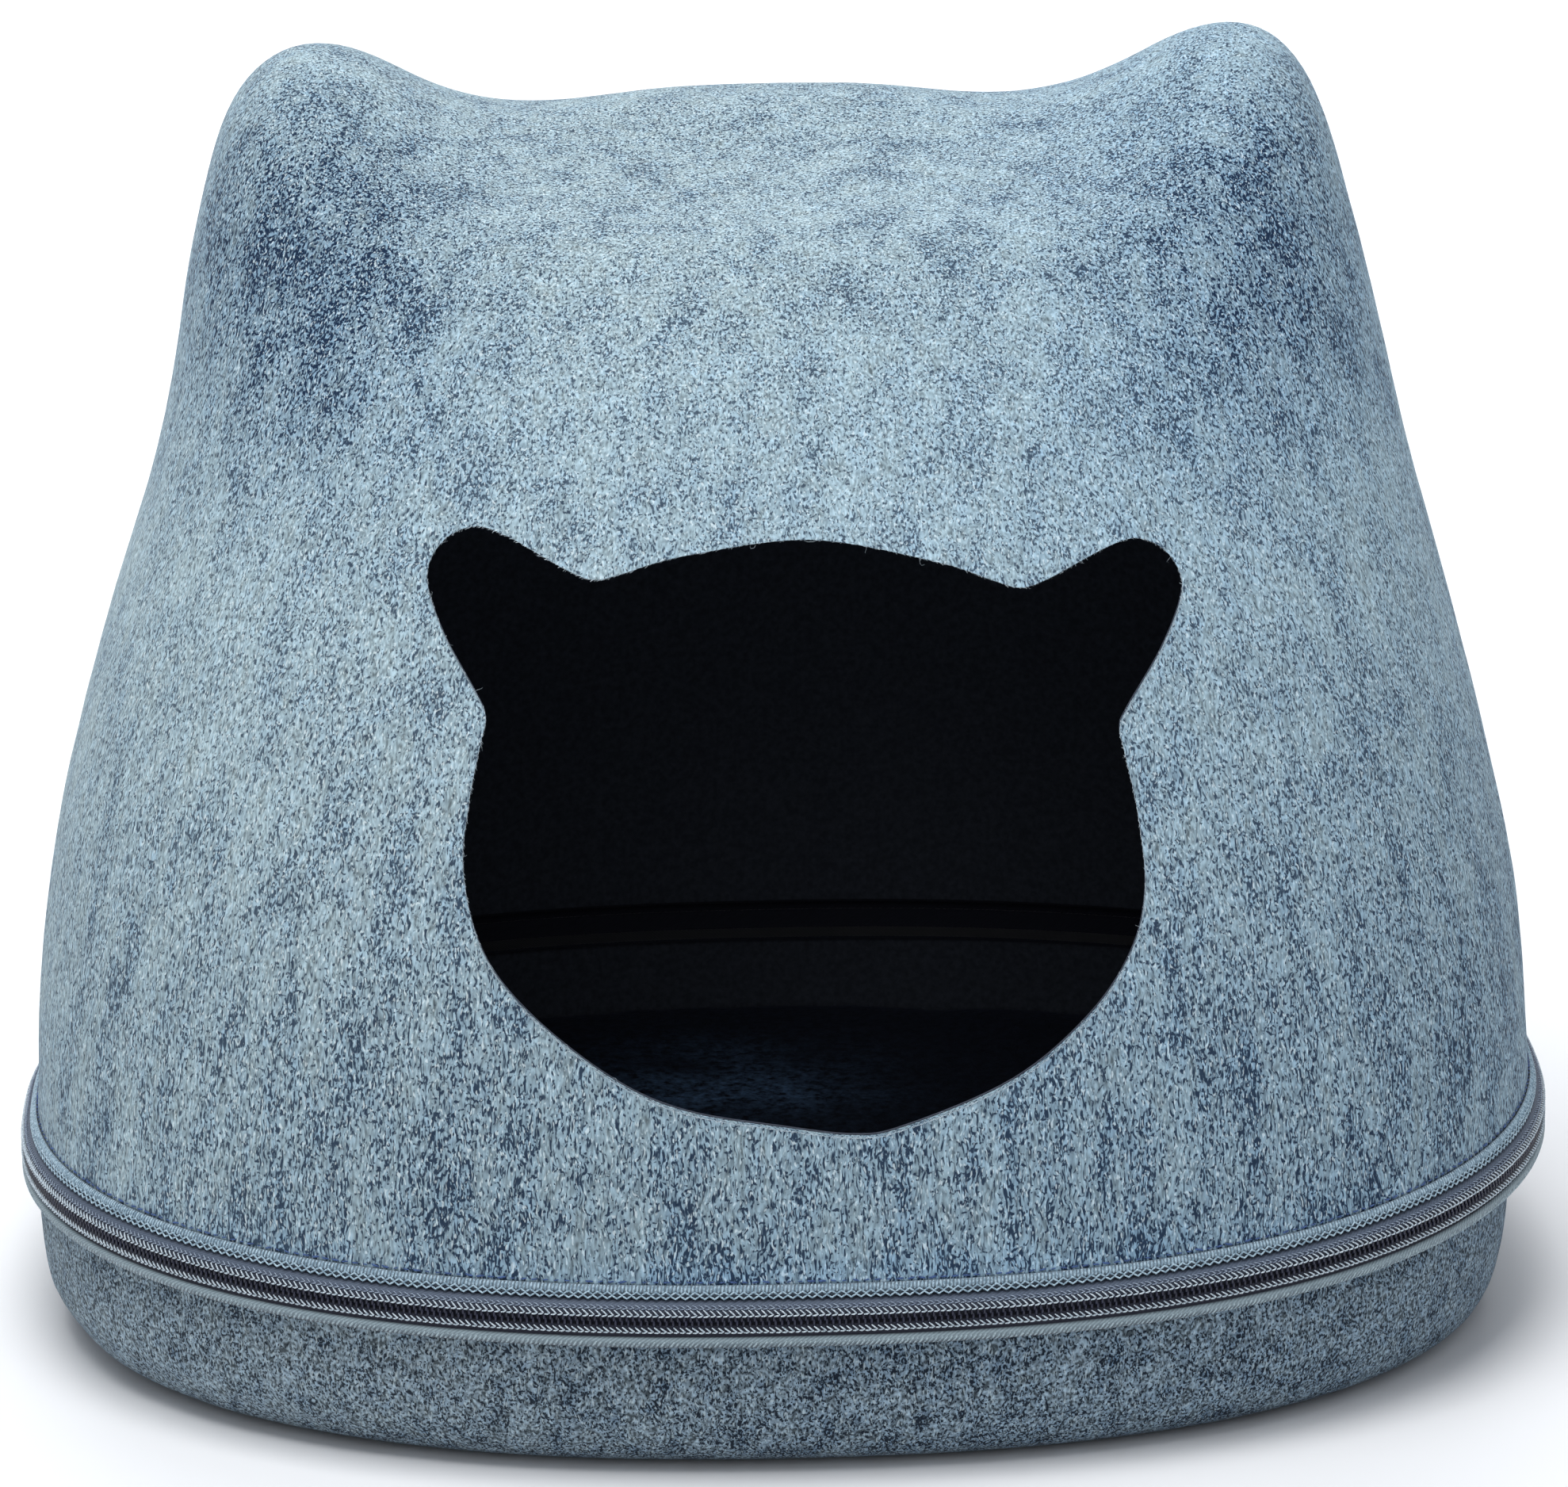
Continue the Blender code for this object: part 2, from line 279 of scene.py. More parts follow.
def shell_mesh(name: str, outer: Points, inner: Points, outer_pole: Points, inner_pole: Points,
               pole_below: bool = False) -> bpy.types.Mesh:
    """Makes a closed wall between an outer and an inner grid of rings.

    Args:
        name: the mesh's name.
        outer: the outer rings, from the lowest up.
        inner: the inner rings, alike in number.
        outer_pole: closes the outer rings.
        inner_pole: closes the inner rings.
        pole_below: whether the poles close the first rings and not the last.

    Returns:
        The mesh.
    """
    rows, around = outer.shape[:2]
    count = rows * around
    faces = ring_faces(rows, around) + ring_faces(rows, around, count, flip=True)
    capped, rim = (0, (rows - 1) * around) if pole_below else ((rows - 1) * around, 0)
    faces += fan_faces(capped, around, 2 * count, flip=pole_below)
    faces += fan_faces(count + capped, around, 2 * count + 1, flip=not pole_below)
    for index in range(around):
        after = (index + 1) % around
        face = (rim + after, rim + index, count + rim + index, count + rim + after)
        faces.append(face[::-1] if pole_below else face)
    points = np.vstack([outer.reshape(-1, 3), inner.reshape(-1, 3), outer_pole, inner_pole])
    return mesh_of(name, points, faces)


def paint(mesh: bpy.types.Mesh, name: str, values: Points) -> None:
    """Stores one number a point on a mesh, for its finish to read."""
    layer = mesh.attributes.new(name, "FLOAT", "POINT")
    layer.data.foreach_set("value", np.asarray(values, dtype=np.float32))


def mesh_points(mesh: bpy.types.Mesh) -> Points:
    """Reads a mesh's points.

    Args:
        mesh: the mesh.

    Returns:
        One row of x, y and z a point.
    """
    flat = np.empty(len(mesh.vertices) * 3, dtype=np.float32)
    mesh.vertices.foreach_get("co", flat)
    return flat.reshape(-1, 3).astype(float)


def move_points(mesh: bpy.types.Mesh, points: Points) -> None:
    """Moves a mesh's points to new places."""
    mesh.vertices.foreach_set("co", points.astype(np.float32).ravel())
    mesh.update()


def thread(route: list[tuple[float, float, float]], thickness: float, sides: int = 5) -> tuple[list, list]:
    """Makes a closed thread with rounded ends.

    Args:
        route: the points that it runs through, in millimetres.
        thickness: its diameter, in millimetres.
        sides: how many sides its section has.

    Returns:
        Points, in metres, and faces.
    """
    end_share = 0.62              # thickness left at the rounded ends
    places = np.array(route, dtype=float) * MM
    along = unit(np.gradient(places, axis=0))
    side = unit(np.cross(along, np.array([0.0, 0.0, 1.0]) + 1e-4))
    lift = np.cross(side, along)
    last = len(places) - 1
    made: list = []
    faces: list = []
    for ring, place in enumerate(places):
        radius = thickness * MM / 2.0 * (end_share if ring in (0, last) else 1.0)
        for turn in range(sides):
            angle = 2.0 * math.pi * turn / sides
            made.append(place + radius * (math.cos(angle) * side[ring] + math.sin(angle) * lift[ring]))
            if ring < last:
                low, high, after = ring * sides, (ring + 1) * sides, (turn + 1) % sides
                faces.append((low + after, low + turn, high + turn, high + after))
    faces.append(tuple(range(sides)))
    faces.append(tuple(last * sides + turn for turn in reversed(range(sides))))
    return made, faces


def shape_object(name: str, threads: list[tuple[list, list]]) -> bpy.types.Object:
    """Joins a few threads into one helper object, to be repeated.

    Args:
        name: the helper's name.
        threads: the points and faces of each thread.

    Returns:
        The helper.
    """
    points: list = []
    faces: list = []
    for made, sides in threads:
        faces += [tuple(number + len(points) for number in face) for face in sides]
        points += made
    helper = new_object(name, mesh_of(name, points, faces), sharp_degrees=75.0)
    turn_outward(helper.data)
    return helper


def finish_piece(piece: bpy.types.Object, replaced: tuple[str, ...] = ()) -> None:
    """Lets a piece ride on the body and the nodes that it stands for, and logs it.

    Args:
        piece: the finished object.
        replaced: the CAD nodes that it replaces.
    """
    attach(piece, BODY)
    if replaced:
        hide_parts(*replaced)
    piece.data.calc_loop_triangles()
    log.info("%s: %d triangles", piece.name, len(piece.data.loop_triangles))


def finish_sheet(piece: bpy.types.Object,
                 replaced: tuple[str, ...] = ()) -> None:
    """Finishes a piece that is a sheet of cloth.

    Args:
        piece: the finished object.
        replaced: the CAD nodes that it replaces.
    """
    finish_piece(piece, replaced)


# ---------------------------------------------------------------- the cave's form
@dataclass(frozen=True)
class CaveForm:
    """The moulded form that every wall, lining and ring of the cave follows, in metres."""

    # height, half width, foremost y, rearmost y, y of the widest line, squareness in front and behind
    hood_rows: tuple = (
        (0.0586, 0.2339, -0.2045, 0.2045, -0.0235, 2.27, 2.45),
        (0.1000, 0.2318, -0.2030, 0.2040, -0.0225, 2.22, 2.45),
        (0.1450, 0.2264, -0.1960, 0.2010, -0.0195, 2.20, 2.42),
        (0.1900, 0.2172, -0.1835, 0.1955, -0.0150, 2.20, 2.40),
        (0.2350, 0.2059, -0.1655, 0.1865, -0.0090, 2.22, 2.38),
        (0.2800, 0.1931, -0.1415, 0.1735, -0.0020, 2.25, 2.35),
        (0.3200, 0.1802, -0.1130, 0.1560, 0.0050, 2.30, 2.35),
        (0.3480, 0.1643, -0.0820, 0.1320, 0.0110, 2.35, 2.35),
        (0.3578, 0.1361, -0.0500, 0.1000, 0.0150, 2.35, 2.35),
        (0.3663, 0.0906, -0.0190, 0.0620, 0.0180, 2.25, 2.25),
        (0.3754, 0.0383, 0.0060, 0.0340, 0.0200, 2.10, 2.10),
    )
    hood_steps: tuple = (11, 12, 12, 12, 12, 11, 9, 9, 12, 13, 10)   # rings from each row to the next
    hood_top: tuple = (0.0, 0.0200, 0.3767)
    # side, x and y of the tip, spread sideways and fore and aft, height above the crown
    ears: tuple = (
        (-1, 0.1452, 0.0145, 0.0444, 0.060, 0.0375),
        (1, 0.1501, 0.0145, 0.0470, 0.060, 0.0396),
    )
    ear_foot: float = 0.24            # height where the ears start to rise out of the form
    ear_full: float = 0.345           # and where they have their full rise
    hollow_height: float = 0.272      # middle of the soft hollow in the left flank
    hollow_depth: float = 0.0055
    hollow_round: float = math.radians(30.0)   # its reach round the cave
    hollow_up: float = 0.059                   # and up and down
    rise_left: float = 0.0050         # how much higher the seam stands at the flanks than in front
    rise_right: float = 0.0120
    rise_power: float = 4.4           # higher keeps the rise nearer to the flanks
    rise_heights: tuple = (0.0060, 0.0440, 0.0626, 0.2200)   # it sets in, is full, is kept, is gone
    tray_rows: tuple = (
        (0.0000, 0.2085, -0.1805, 0.1805, -0.0235, 2.27, 2.45),
        (0.0015, 0.2160, -0.1880, 0.1880, -0.0235, 2.27, 2.45),
        (0.0060, 0.2230, -0.1950, 0.1950, -0.0235, 2.27, 2.45),
        (0.0160, 0.2285, -0.2005, 0.2005, -0.0235, 2.27, 2.45),
        (0.0300, 0.2308, -0.2027, 0.2027, -0.0235, 2.27, 2.45),
        (0.0455, 0.2312, -0.2030, 0.2030, -0.0235, 2.27, 2.45),
    )
    tray_steps: tuple = (2, 3, 4, 5, 5)
    tray_foot_shift: float = -0.0010  # how far right of the hood's middle the tray's foot lies
    tray_rim_shift: float = -0.0030   # and its wall, above the lean's top
    lean_top: float = 0.0160

    def outline(self, row: Points | tuple, around: int, shift: float = 0.0) -> Points:
        """Gives the points round one level outline, anticlockwise seen from above.

        Args:
            row: one row of a table of outlines.
            around: how many points.
            shift: how far right the outline lies.

        Returns:
            An array of points.
        """
        height, half_width, front, back, middle, front_power, back_power = row
        angle = 2.0 * np.pi * np.arange(around) / around
        along, across = np.cos(angle), np.sin(angle)
        power = 2.0 / np.where(across < 0.0, front_power, back_power)
        reach = np.where(across < 0.0, middle - front, back - middle)
        x = shift + half_width * np.sign(along) * np.abs(along) ** power
        y = middle + reach * np.sign(across) * np.abs(across) ** power
        return np.stack([x, y, np.full(around, height)], axis=-1)

    def raised(self, points: Points) -> Points:
        """Lifts points with the seam's rise towards the sides.

        Args:
            points: places in any shape, with x, y and z last.

        Returns:
            The lifted places, in the same shape.
        """
        x, y, z = points[..., 0], points[..., 1], points[..., 2]
        start, full, kept, gone = self.rise_heights
        fade = smooth_share(z, start, full) * (1.0 - smooth_share(z, kept, gone))
        most = np.where(x < 0.0, self.rise_left, self.rise_right)
        lift = most * np.abs(x / np.maximum(np.hypot(x, y), TINY)) ** self.rise_power * fade
        return np.stack([x, y, z + lift], axis=-1)

    def pressed(self, points: Points) -> Points:
        """Gives the hood's points their hollow in the left flank, their ears and the seam's rise.

        Args:
            points: places in any shape, with x, y and z last.

        Returns:
            The moulded places, in the same shape.
        """
        x, y, z = points[..., 0], points[..., 1], points[..., 2]
        from_left = np.arctan2(y, x) % (2.0 * np.pi) - np.pi
        hollow = (self.hollow_depth * hump(from_left, 0.0, self.hollow_round)
                  * hump(z, self.hollow_height, self.hollow_up))
        kept = 1.0 - hollow / np.maximum(np.hypot(x, y), TINY)
        x, y = x * kept, y * kept
        share = smooth_share(z, self.ear_foot, self.ear_full)
        lift = sum(height * share * hump(x, side * tip_x, wide) * hump(y, tip_y, deep)
                   for side, tip_x, tip_y, wide, deep, height in self.ears)
        return self.raised(np.stack([x, y, z + lift], axis=-1))

    def hood_grid(self, around: int) -> Points:
        """Draws the hood's outer surface, from its foot to just under its top.

        Args:
            around: points in a ring.

        Returns:
            The rings, from the lowest up.
        """
        rows = np.array(self.hood_rows)
        top = np.array([self.hood_top[2], 0.0, *[self.hood_top[1]] * 3, *rows[-1, 5:]])
        mirrored = rows[-1].copy()
        mirrored[1] *= -1.0
        mirrored[2], mirrored[3] = rows[-1, 3], rows[-1, 2]
        known = np.vstack([2.0 * rows[0] - rows[1], rows, top, mirrored])
        dense = smooth_rows(known, self.hood_steps)[:-1]
        return self.pressed(np.array([self.outline(row, around) for row in dense]))

    def hood_pole(self) -> Points:
        """Gives the top point of the hood."""
        return self.pressed(np.array(self.hood_top))

    def tray_shift(self, height: float) -> float:
        """Gives how far right of the hood's middle the tray's outline lies at a height."""
        share = min(height / self.lean_top, 1.0)
        return self.tray_foot_shift + (self.tray_rim_shift - self.tray_foot_shift) * share

    def tray_grid(self, around: int) -> Points:
        """Draws the tray's outer wall, from its foot to its rim.

        Args:
            around: points in a ring.

        Returns:
            The rings, from the lowest up.
        """
        rows = np.array(self.tray_rows)
        known = np.vstack([2.0 * rows[0] - rows[1], rows, 2.0 * rows[-1] - rows[-2]])
        dense = smooth_rows(known, self.tray_steps)
        dense[0, 0] = 0.0
        return self.raised(np.array([self.outline(row, around, self.tray_shift(row[0])) for row in dense]))

    def stations(self, count: int) -> tuple[Points, Points, float]:
        """Spaces points evenly round the hood's lower outline.

        Args:
            count: how many points.

        Returns:
            The points, their level outward normals, and the outline's length.
        """
        fine = self.outline(self.hood_rows[0], 8192)
        closed = np.vstack([fine, fine[:1]])
        run = np.concatenate([[0.0], np.cumsum(np.linalg.norm(np.diff(closed, axis=0), axis=1))])
        wanted = np.arange(count) / count * run[-1]
        points = np.stack([np.interp(wanted, run, closed[:, axis]) for axis in range(3)], axis=-1)
        return points, level_normals(points), float(run[-1])

    def ring(self, out: float, height: float, count: int) -> Points:
        """Draws a ring of points along the seam.

        Args:
            out: how far it lies outside the hood's lower outline.
            height: its height in front.
            count: how many points.

        Returns:
            The ring, anticlockwise seen from above.
        """
        points, normals, _ = self.stations(count)
        moved = points + normals * out
        moved[:, 2] = height
        return self.raised(moved)


@dataclass(frozen=True)
class EntranceForm:
    """The cat's head that is cut through the hood's front; its points are (across, up) from its centre."""

    upper_half: tuple = (
        (0.0365, 0.0787), (0.0560, 0.0728), (0.0630, 0.0711), (0.0710, 0.0730), (0.0900, 0.0811),
        (0.1000, 0.0824), (0.1088, 0.0771), (0.1126, 0.0672), (0.1068, 0.0525), (0.0957, 0.0360),
        (0.0934, 0.0308), (0.0950, 0.0240), (0.0992, 0.0065),
    )
    jaw_right: tuple = (
        (0.1016, -0.0150), (0.0975, -0.0326), (0.0851, -0.0501), (0.0629, -0.0677), (0.0305, -0.0811))
    jaw_left: tuple = (
        (0.1010, -0.0135), (0.0946, -0.0356), (0.0801, -0.0524), (0.0557, -0.0693), (0.0343, -0.0776),
        (0.0059, -0.0815))
    brow: tuple = (0.0, 0.0840)
    chin: tuple = (0.0160, -0.0836)
    left_cheek: tuple = (0.0018, 0.035, 0.028)   # how much wider it is, its height and its reach
    centre: tuple = (0.0023, 0.191)   # x and z
    tilt: float = math.radians(-2.2)
    cut_from: float = -0.26           # y in front of the hood
    cut_to: float = -0.06             # and inside it
    steps: int = 8                    # from each point to the next

    def outline(self) -> Points:
        """Draws the entrance as a smooth closed curve.

        Returns:
            Points (x, z), clockwise seen from the front.
        """
        wider, height, reach = self.left_cheek
        left = [(-across, up) for across, up in reversed(self.jaw_left)] + [
            (-across - wider * hump(up, height, reach), up) for across, up in reversed(self.upper_half)]
        corners = np.array([self.brow, *self.upper_half, *self.jaw_right, self.chin, *left])
        cosine, sine = math.cos(self.tilt), math.sin(self.tilt)
        curve = []
        for index in range(len(corners)):
            near = [corners[(index + step) % len(corners)] for step in (-1, 0, 1, 2)]
            for step in range(self.steps):
                across, up = curve_between(*near, step / self.steps)
                curve.append((self.centre[0] + across * cosine - up * sine,
                              self.centre[1] + across * sine + up * cosine))
        return np.array(curve)

    def cut(self, whole: bpy.types.Object) -> bpy.types.Mesh:
        """Cuts the entrance through a wall with a prism.

        Args:
            whole: the wall's object.

        Returns:
            The cut wall's mesh.
        """
        edge = self.outline()
        count = len(edge)
        faces = [tuple(range(count)), tuple(range(2 * count - 1, count - 1, -1))]
        faces += [(index, count + index, count + (index + 1) % count, (index + 1) % count)
                  for index in range(count)]
        prism = mesh_of("entrance_cutter", [(x, y, z) for y in (self.cut_from, self.cut_to) for x, z in edge],
                        faces)
        turn_outward(prism)
        cutter = new_object("entrance_cutter", prism)
        modifier = whole.modifiers.new("entrance", "BOOLEAN")
        modifier.operation = "DIFFERENCE"
        modifier.solver = "EXACT"
        modifier.object = cutter
        mesh = settled_mesh(whole)
        bpy.data.objects.remove(cutter)
        return mesh


FORM = CaveForm()
ENTRANCE = EntranceForm()


# ---------------------------------------------------------------- finishes
def fresh_material(name: str) -> tuple[bpy.types.Material, bpy.types.NodeTree, bpy.types.Node]:
    """Makes a material with an empty shader.

    Args:
        name: the material's name.

    Returns:
        The material, its tree and its shader node.
    """
    material = bpy.data.materials.new(name)
    material.use_nodes = True
    return material, material.node_tree, material.node_tree.nodes["Principled BSDF"]


@dataclass(frozen=True)
class NeedleFelt:
    """Needle-punched wool and polyester felt, moulded hot: a pale blue-grey web with navy fibres in it.

    The navy fibres show as short strokes and dots that run with the pull of the mould down the walls
    and lie thicker in loose clouds.  The painted map of the flecks says how thick they lie; where it is
    raised it also paints shade, and where it is lowered it paints light.  "tint" says how blue it is.
    Single fibres are about 0.03 mm thick, so the web, the strokes and the dots stand for small bundles of
    them and are drawn as fine as the picture can show.
    """

    name: str
    pale: str = "A9BFC9"              # the web
    mid: str = "728A9C"               # the web where navy fibres lie just under its face
    navy: str = "162840"
    light: str = "DCEAF0"             # single bright fibres
    warm: tuple = (1.04, 1.0, 0.94, 1.0)   # the colour's cast where the tint is 0
    cold: tuple = (0.93, 1.0, 1.06, 1.0)   # and where it is 1
    web_mm: float = 0.80              # widths of the web's grain, its tufts and its clouds
    tuft_mm: float = 3.6
    cloud_mm: float = 13.0
    stroke_mm: float = 0.74           # widths of a navy stroke, a navy dot and a bright fibre
    dot_mm: float = 0.98
    bright_mm: float = 0.60
    sway_mm: float = 2.0              # how far the grain sways to and fro
    sway_width_mm: float = 6.0
    stretch: float = 0.28             # 1 for round lumps, less for the web's long ones down the walls
    streak: float = 0.24              # the same for the tufts
    stroke_stretch: float = 0.22      # and for the strokes
    sparse: float = 0.608             # higher leaves fewer strokes and dots
    softness: float = 0.12            # of their edges
    depth: float = 0.76               # how dark strokes are where the fleck is 0
    depth_gain: float = 0.20          # and how much darker where it is 1
    level: float = 1.01               # brightness of the web
    contrast: float = 1.0             # of the web

    def layers(self, tree: bpy.types.NodeTree, place: Socket) -> dict[str, Socket]:
        """Lays the felt's random layers over one another.

        Args:
            tree: the material's tree.
            place: the place on the piece.

        Returns:
            Each layer's value by its name.
        """
        drift = add_node(tree, "ShaderNodeTexNoise", {
            "Vector": place, "Scale": 1.0 / (self.sway_width_mm * MM), "Detail": 1.0}).outputs["Color"]
        about_nought = add_node(tree, "ShaderNodeVectorMath", {0: drift, 1: (0.5, 0.5, 0.5)},
                                operation="SUBTRACT").outputs[0]
        nudge = add_node(tree, "ShaderNodeVectorMath", {0: about_nought, "Scale": self.sway_mm * MM},
                         operation="SCALE").outputs[0]
        swayed = add_node(tree, "ShaderNodeVectorMath", {0: place, 1: nudge}).outputs[0]
        made = {}
        # name, width, stretch, lean in radians, a shift that makes it another pattern, detail, roughness
        for name, width, stretch, lean, shift, detail, roughness in (
                ("web", self.web_mm, self.stretch, 0.0, 0.0, 0.4, 0.5),
                ("tuft", self.tuft_mm, self.streak, 0.06, 0.0, 1.5, 0.6),
                ("cloud", self.cloud_mm, self.stretch, 0.0, 0.0, 2.0, 0.6),
                ("stroke_right", self.stroke_mm, self.stroke_stretch, 0.16, 0.0, 0.5, 0.6),
                ("stroke_left", self.stroke_mm, self.stroke_stretch, -0.42, 4.0, 0.5, 0.6),
                ("dot", self.dot_mm, 0.8, 0.0, 8.0, 0.5, 0.6),
                ("bright", self.bright_mm, 0.34, -0.2, 12.0, 0.5, 0.5)):
            laid = add_node(tree, "ShaderNodeMapping", {
                "Vector": swayed, "Location": (shift, 0.0, 0.0), "Rotation": (0.0, lean, 0.0),
                "Scale": (1.0, 1.0, stretch)}).outputs[0]
            made[name] = add_node(tree, "ShaderNodeTexNoise", {
                "Vector": laid, "Scale": 1.0 / (width * MM), "Detail": detail,
                "Roughness": roughness}).outputs[0]
        return made

    def build(self) -> bpy.types.Material:
        """Makes the material.

        Returns:
            The material, which fills a piece's only slot.
        """
        material, tree, shader = fresh_material(self.name)
        place = add_node(tree, "ShaderNodeTexCoord").outputs["Object"]
        # the map of the flecks also carries painted shade and painted light
        fleck_shade_and_light, tint = (add_node(tree, "ShaderNodeAttribute", attribute_name=name).outputs["Fac"]
                       for name in ("fleck_shade_and_light", "tint"))
        layers = self.layers(tree, place)
        web, tuft, cloud = layers["web"], layers["tuft"], layers["cloud"]
        grain = self.contrast
        sums = {}
        # a start and the gain of each value; a start makes up for noises that lie about a half
        for name, start, terms in (
                ("line", self.sparse + 0.225, ((fleck_shade_and_light, -0.045), (cloud, -0.28), (tuft, -0.17))),
                ("dark", self.depth, ((fleck_shade_and_light, self.depth_gain),)),
                ("veil", -1.05, ((cloud, 1.5), (tuft, 1.1), (fleck_shade_and_light, 0.42))),
                ("grey", self.level - 1.85 * grain,
                 ((web, 1.5 * grain), (tuft, 1.3 * grain), (cloud, 0.9 * grain))),
                ("pits", 0.0, ((web, 0.6), (tuft, 0.8)))):
            total: Socket | float = start
            for value, gain in terms:
                total = add_node(tree, "ShaderNodeMath", {0: value, 1: gain, 2: total},
                                 operation="MULTIPLY_ADD").outputs[0]
            sums[name] = total
        veil, grey = (add_node(tree, "ShaderNodeClamp", {0: sums[name], "Min": low, "Max": high}).outputs[0]
                      for name, low, high in (("veil", 0.0, 1.0), ("grey", 0.28, 2.2)))
        # strokes and dots show where their noise rises over the line
        end = add_node(tree, "ShaderNodeMath", {0: sums["line"], 1: self.softness},
                       operation="ADD").outputs[0]
        marks: Socket | float = 0.0
        for name in ("stroke_right", "stroke_left", "dot"):
            mark = add_node(tree, "ShaderNodeMapRange", {
                "Value": layers[name], "From Min": sums["line"], "From Max": end},
                interpolation_type="SMOOTHSTEP").outputs[0]
            marks = add_node(tree, "ShaderNodeMath", {0: marks, 1: mark}, operation="MAXIMUM").outputs[0]
        navy = add_node(tree, "ShaderNodeMath", {0: marks, 1: sums["dark"]}, operation="MULTIPLY",
                        use_clamp=True).outputs[0]
        bright = add_node(tree, "ShaderNodeMapRange", {
            "Value": layers["bright"], "From Min": 0.60, "From Max": 0.74, "To Max": 0.62},
            interpolation_type="SMOOTHSTEP").outputs[0]
        cast = add_node(tree, "ShaderNodeMix", {0: tint, 6: self.warm, 7: self.cold},
                        data_type="RGBA").outputs[2]
        colour: Socket | tuple = linear(self.pale)
        for share, layer, kind in (
                (veil, linear(self.mid), "MIX"), (1.0, grey, "MULTIPLY"), (navy, linear(self.navy), "MIX"),
                (bright, linear(self.light), "MIX"), (1.0, cast, "MULTIPLY")):
            colour = add_node(tree, "ShaderNodeMix", {0: share, 6: colour, 7: layer}, data_type="RGBA",
                              blend_type=kind).outputs[2]
        bump = add_node(tree, "ShaderNodeBump", {
            "Height": sums["pits"], "Strength": 0.6, "Distance": 0.5 * MM}).outputs[0]
        set_inputs(tree, shader, {
            "Base Color": colour, "Normal": bump, "Roughness": 0.95, "Specular IOR Level": 0.12,
            "Sheen Weight": 0.10, "Sheen Roughness": 0.5, "Sheen Tint": linear("CFE0EA")})
        return material


@dataclass(frozen=True)
class BrushedKnit:
    """Brushed polyester knit, near black: short fuzz that swallows the light, faintly blue at its tips."""

    name: str
    base: str
    fuzz: str
    painted_light_on_nap: str = "22242E"           # colour of the painted light, where the painted map says that light falls on the nap
    tuft_mm: float = 2.2              # the fuzz lies in soft tufts of this width

    def build(self) -> bpy.types.Material:
        """Makes the material.

        Returns:
            The material, which fills a piece's only slot.
        """
        material, tree, shader = fresh_material(self.name)
        place = add_node(tree, "ShaderNodeTexCoord").outputs["Object"]
        tufts = add_node(tree, "ShaderNodeTexNoise", {
            "Vector": place, "Scale": 1.0 / (self.tuft_mm * MM), "Detail": 3.0, "Roughness": 0.6}).outputs[0]
        share = add_node(tree, "ShaderNodeMapRange", {
            "Value": tufts, "From Min": 0.35, "From Max": 0.7}).outputs[0]
        # a painted pool of light on the nap, broken up by the tufts
        nap = add_node(tree, "ShaderNodeAttribute", attribute_name="painted_light_on_nap").outputs["Fac"]
        painted_light_in_tufts = add_node(tree, "ShaderNodeMath", {0: nap, 1: share}, operation="MULTIPLY").outputs[0]
        colour: Socket | tuple = linear(self.base)
        for amount, layer in ((share, self.fuzz), (painted_light_in_tufts, self.painted_light_on_nap)):
            colour = add_node(tree, "ShaderNodeMix", {0: amount, 6: colour, 7: linear(layer)},
                              data_type="RGBA").outputs[2]
        bump = add_node(tree, "ShaderNodeBump", {
            "Height": tufts, "Strength": 0.7, "Distance": 0.8 * MM}).outputs[0]
        set_inputs(tree, shader, {
            "Base Color": colour, "Normal": bump, "Roughness": 0.95, "Specular IOR Level": 0.1,
            "Sheen Weight": 0.12, "Sheen Roughness": 0.5, "Sheen Tint": linear("8A93B8")})
        return material


@dataclass(frozen=True)
class WovenTape:
    """Close-woven polyester tape: a fine twill that reads as a satin slate, darker in its grooves."""

    name: str
    face: str
    groove: str
    deep: str = "11162A"              # where the painted "shade" says that it lies in the dark
    twill_mm: float = 0.9             # real twill is 0.4 mm; drawn coarser so that it shows
    lean: float = 0.9                 # how far the twill leans along the tape, in radians

    def build(self) -> bpy.types.Material:
        """Makes the material.

        Returns:
            The material, which fills a piece's only slot.
        """
        material, tree, shader = fresh_material(self.name)
        run = add_node(tree, "ShaderNodeUVMap", uv_map="run").outputs[0]
        leaned = add_node(tree, "ShaderNodeMapping", {
            "Vector": run, "Rotation": (0.0, 0.0, self.lean)}).outputs[0]
        # a wave texture of scale 1 has a band every 2 pi / 20
        twill = add_node(tree, "ShaderNodeTexWave", {
            "Vector": leaned, "Scale": 2.0 * math.pi / (20.0 * self.twill_mm * MM), "Distortion": 0.4,
            "Detail": 1.0}, wave_type="BANDS", bands_direction="X").outputs["Fac"]
        patchy = add_node(tree, "ShaderNodeTexNoise", {
            "Vector": run, "Scale": 1.0 / (6.0 * MM), "Detail": 2.0}).outputs[0]
        share: Socket | float = 0.1
        for value, gain in ((twill, 0.7), (patchy, 0.4)):
            share = add_node(tree, "ShaderNodeMath", {0: value, 1: gain, 2: share},
                             operation="MULTIPLY_ADD").outputs[0]
        shade = add_node(tree, "ShaderNodeAttribute", attribute_name="shade").outputs["Fac"]
        colour: Socket | tuple = linear(self.groove)
        for amount, layer in ((share, self.face), (shade, self.deep)):
            colour = add_node(tree, "ShaderNodeMix", {0: amount, 6: colour, 7: linear(layer)},
                              data_type="RGBA").outputs[2]
        bump = add_node(tree, "ShaderNodeBump", {
            "Height": twill, "Strength": 0.5, "Distance": 0.15 * MM}).outputs[0]
        set_inputs(tree, shader, {
            "Base Color": colour, "Normal": bump, "Roughness": 0.7, "Sheen Weight": 0.15})
        return material


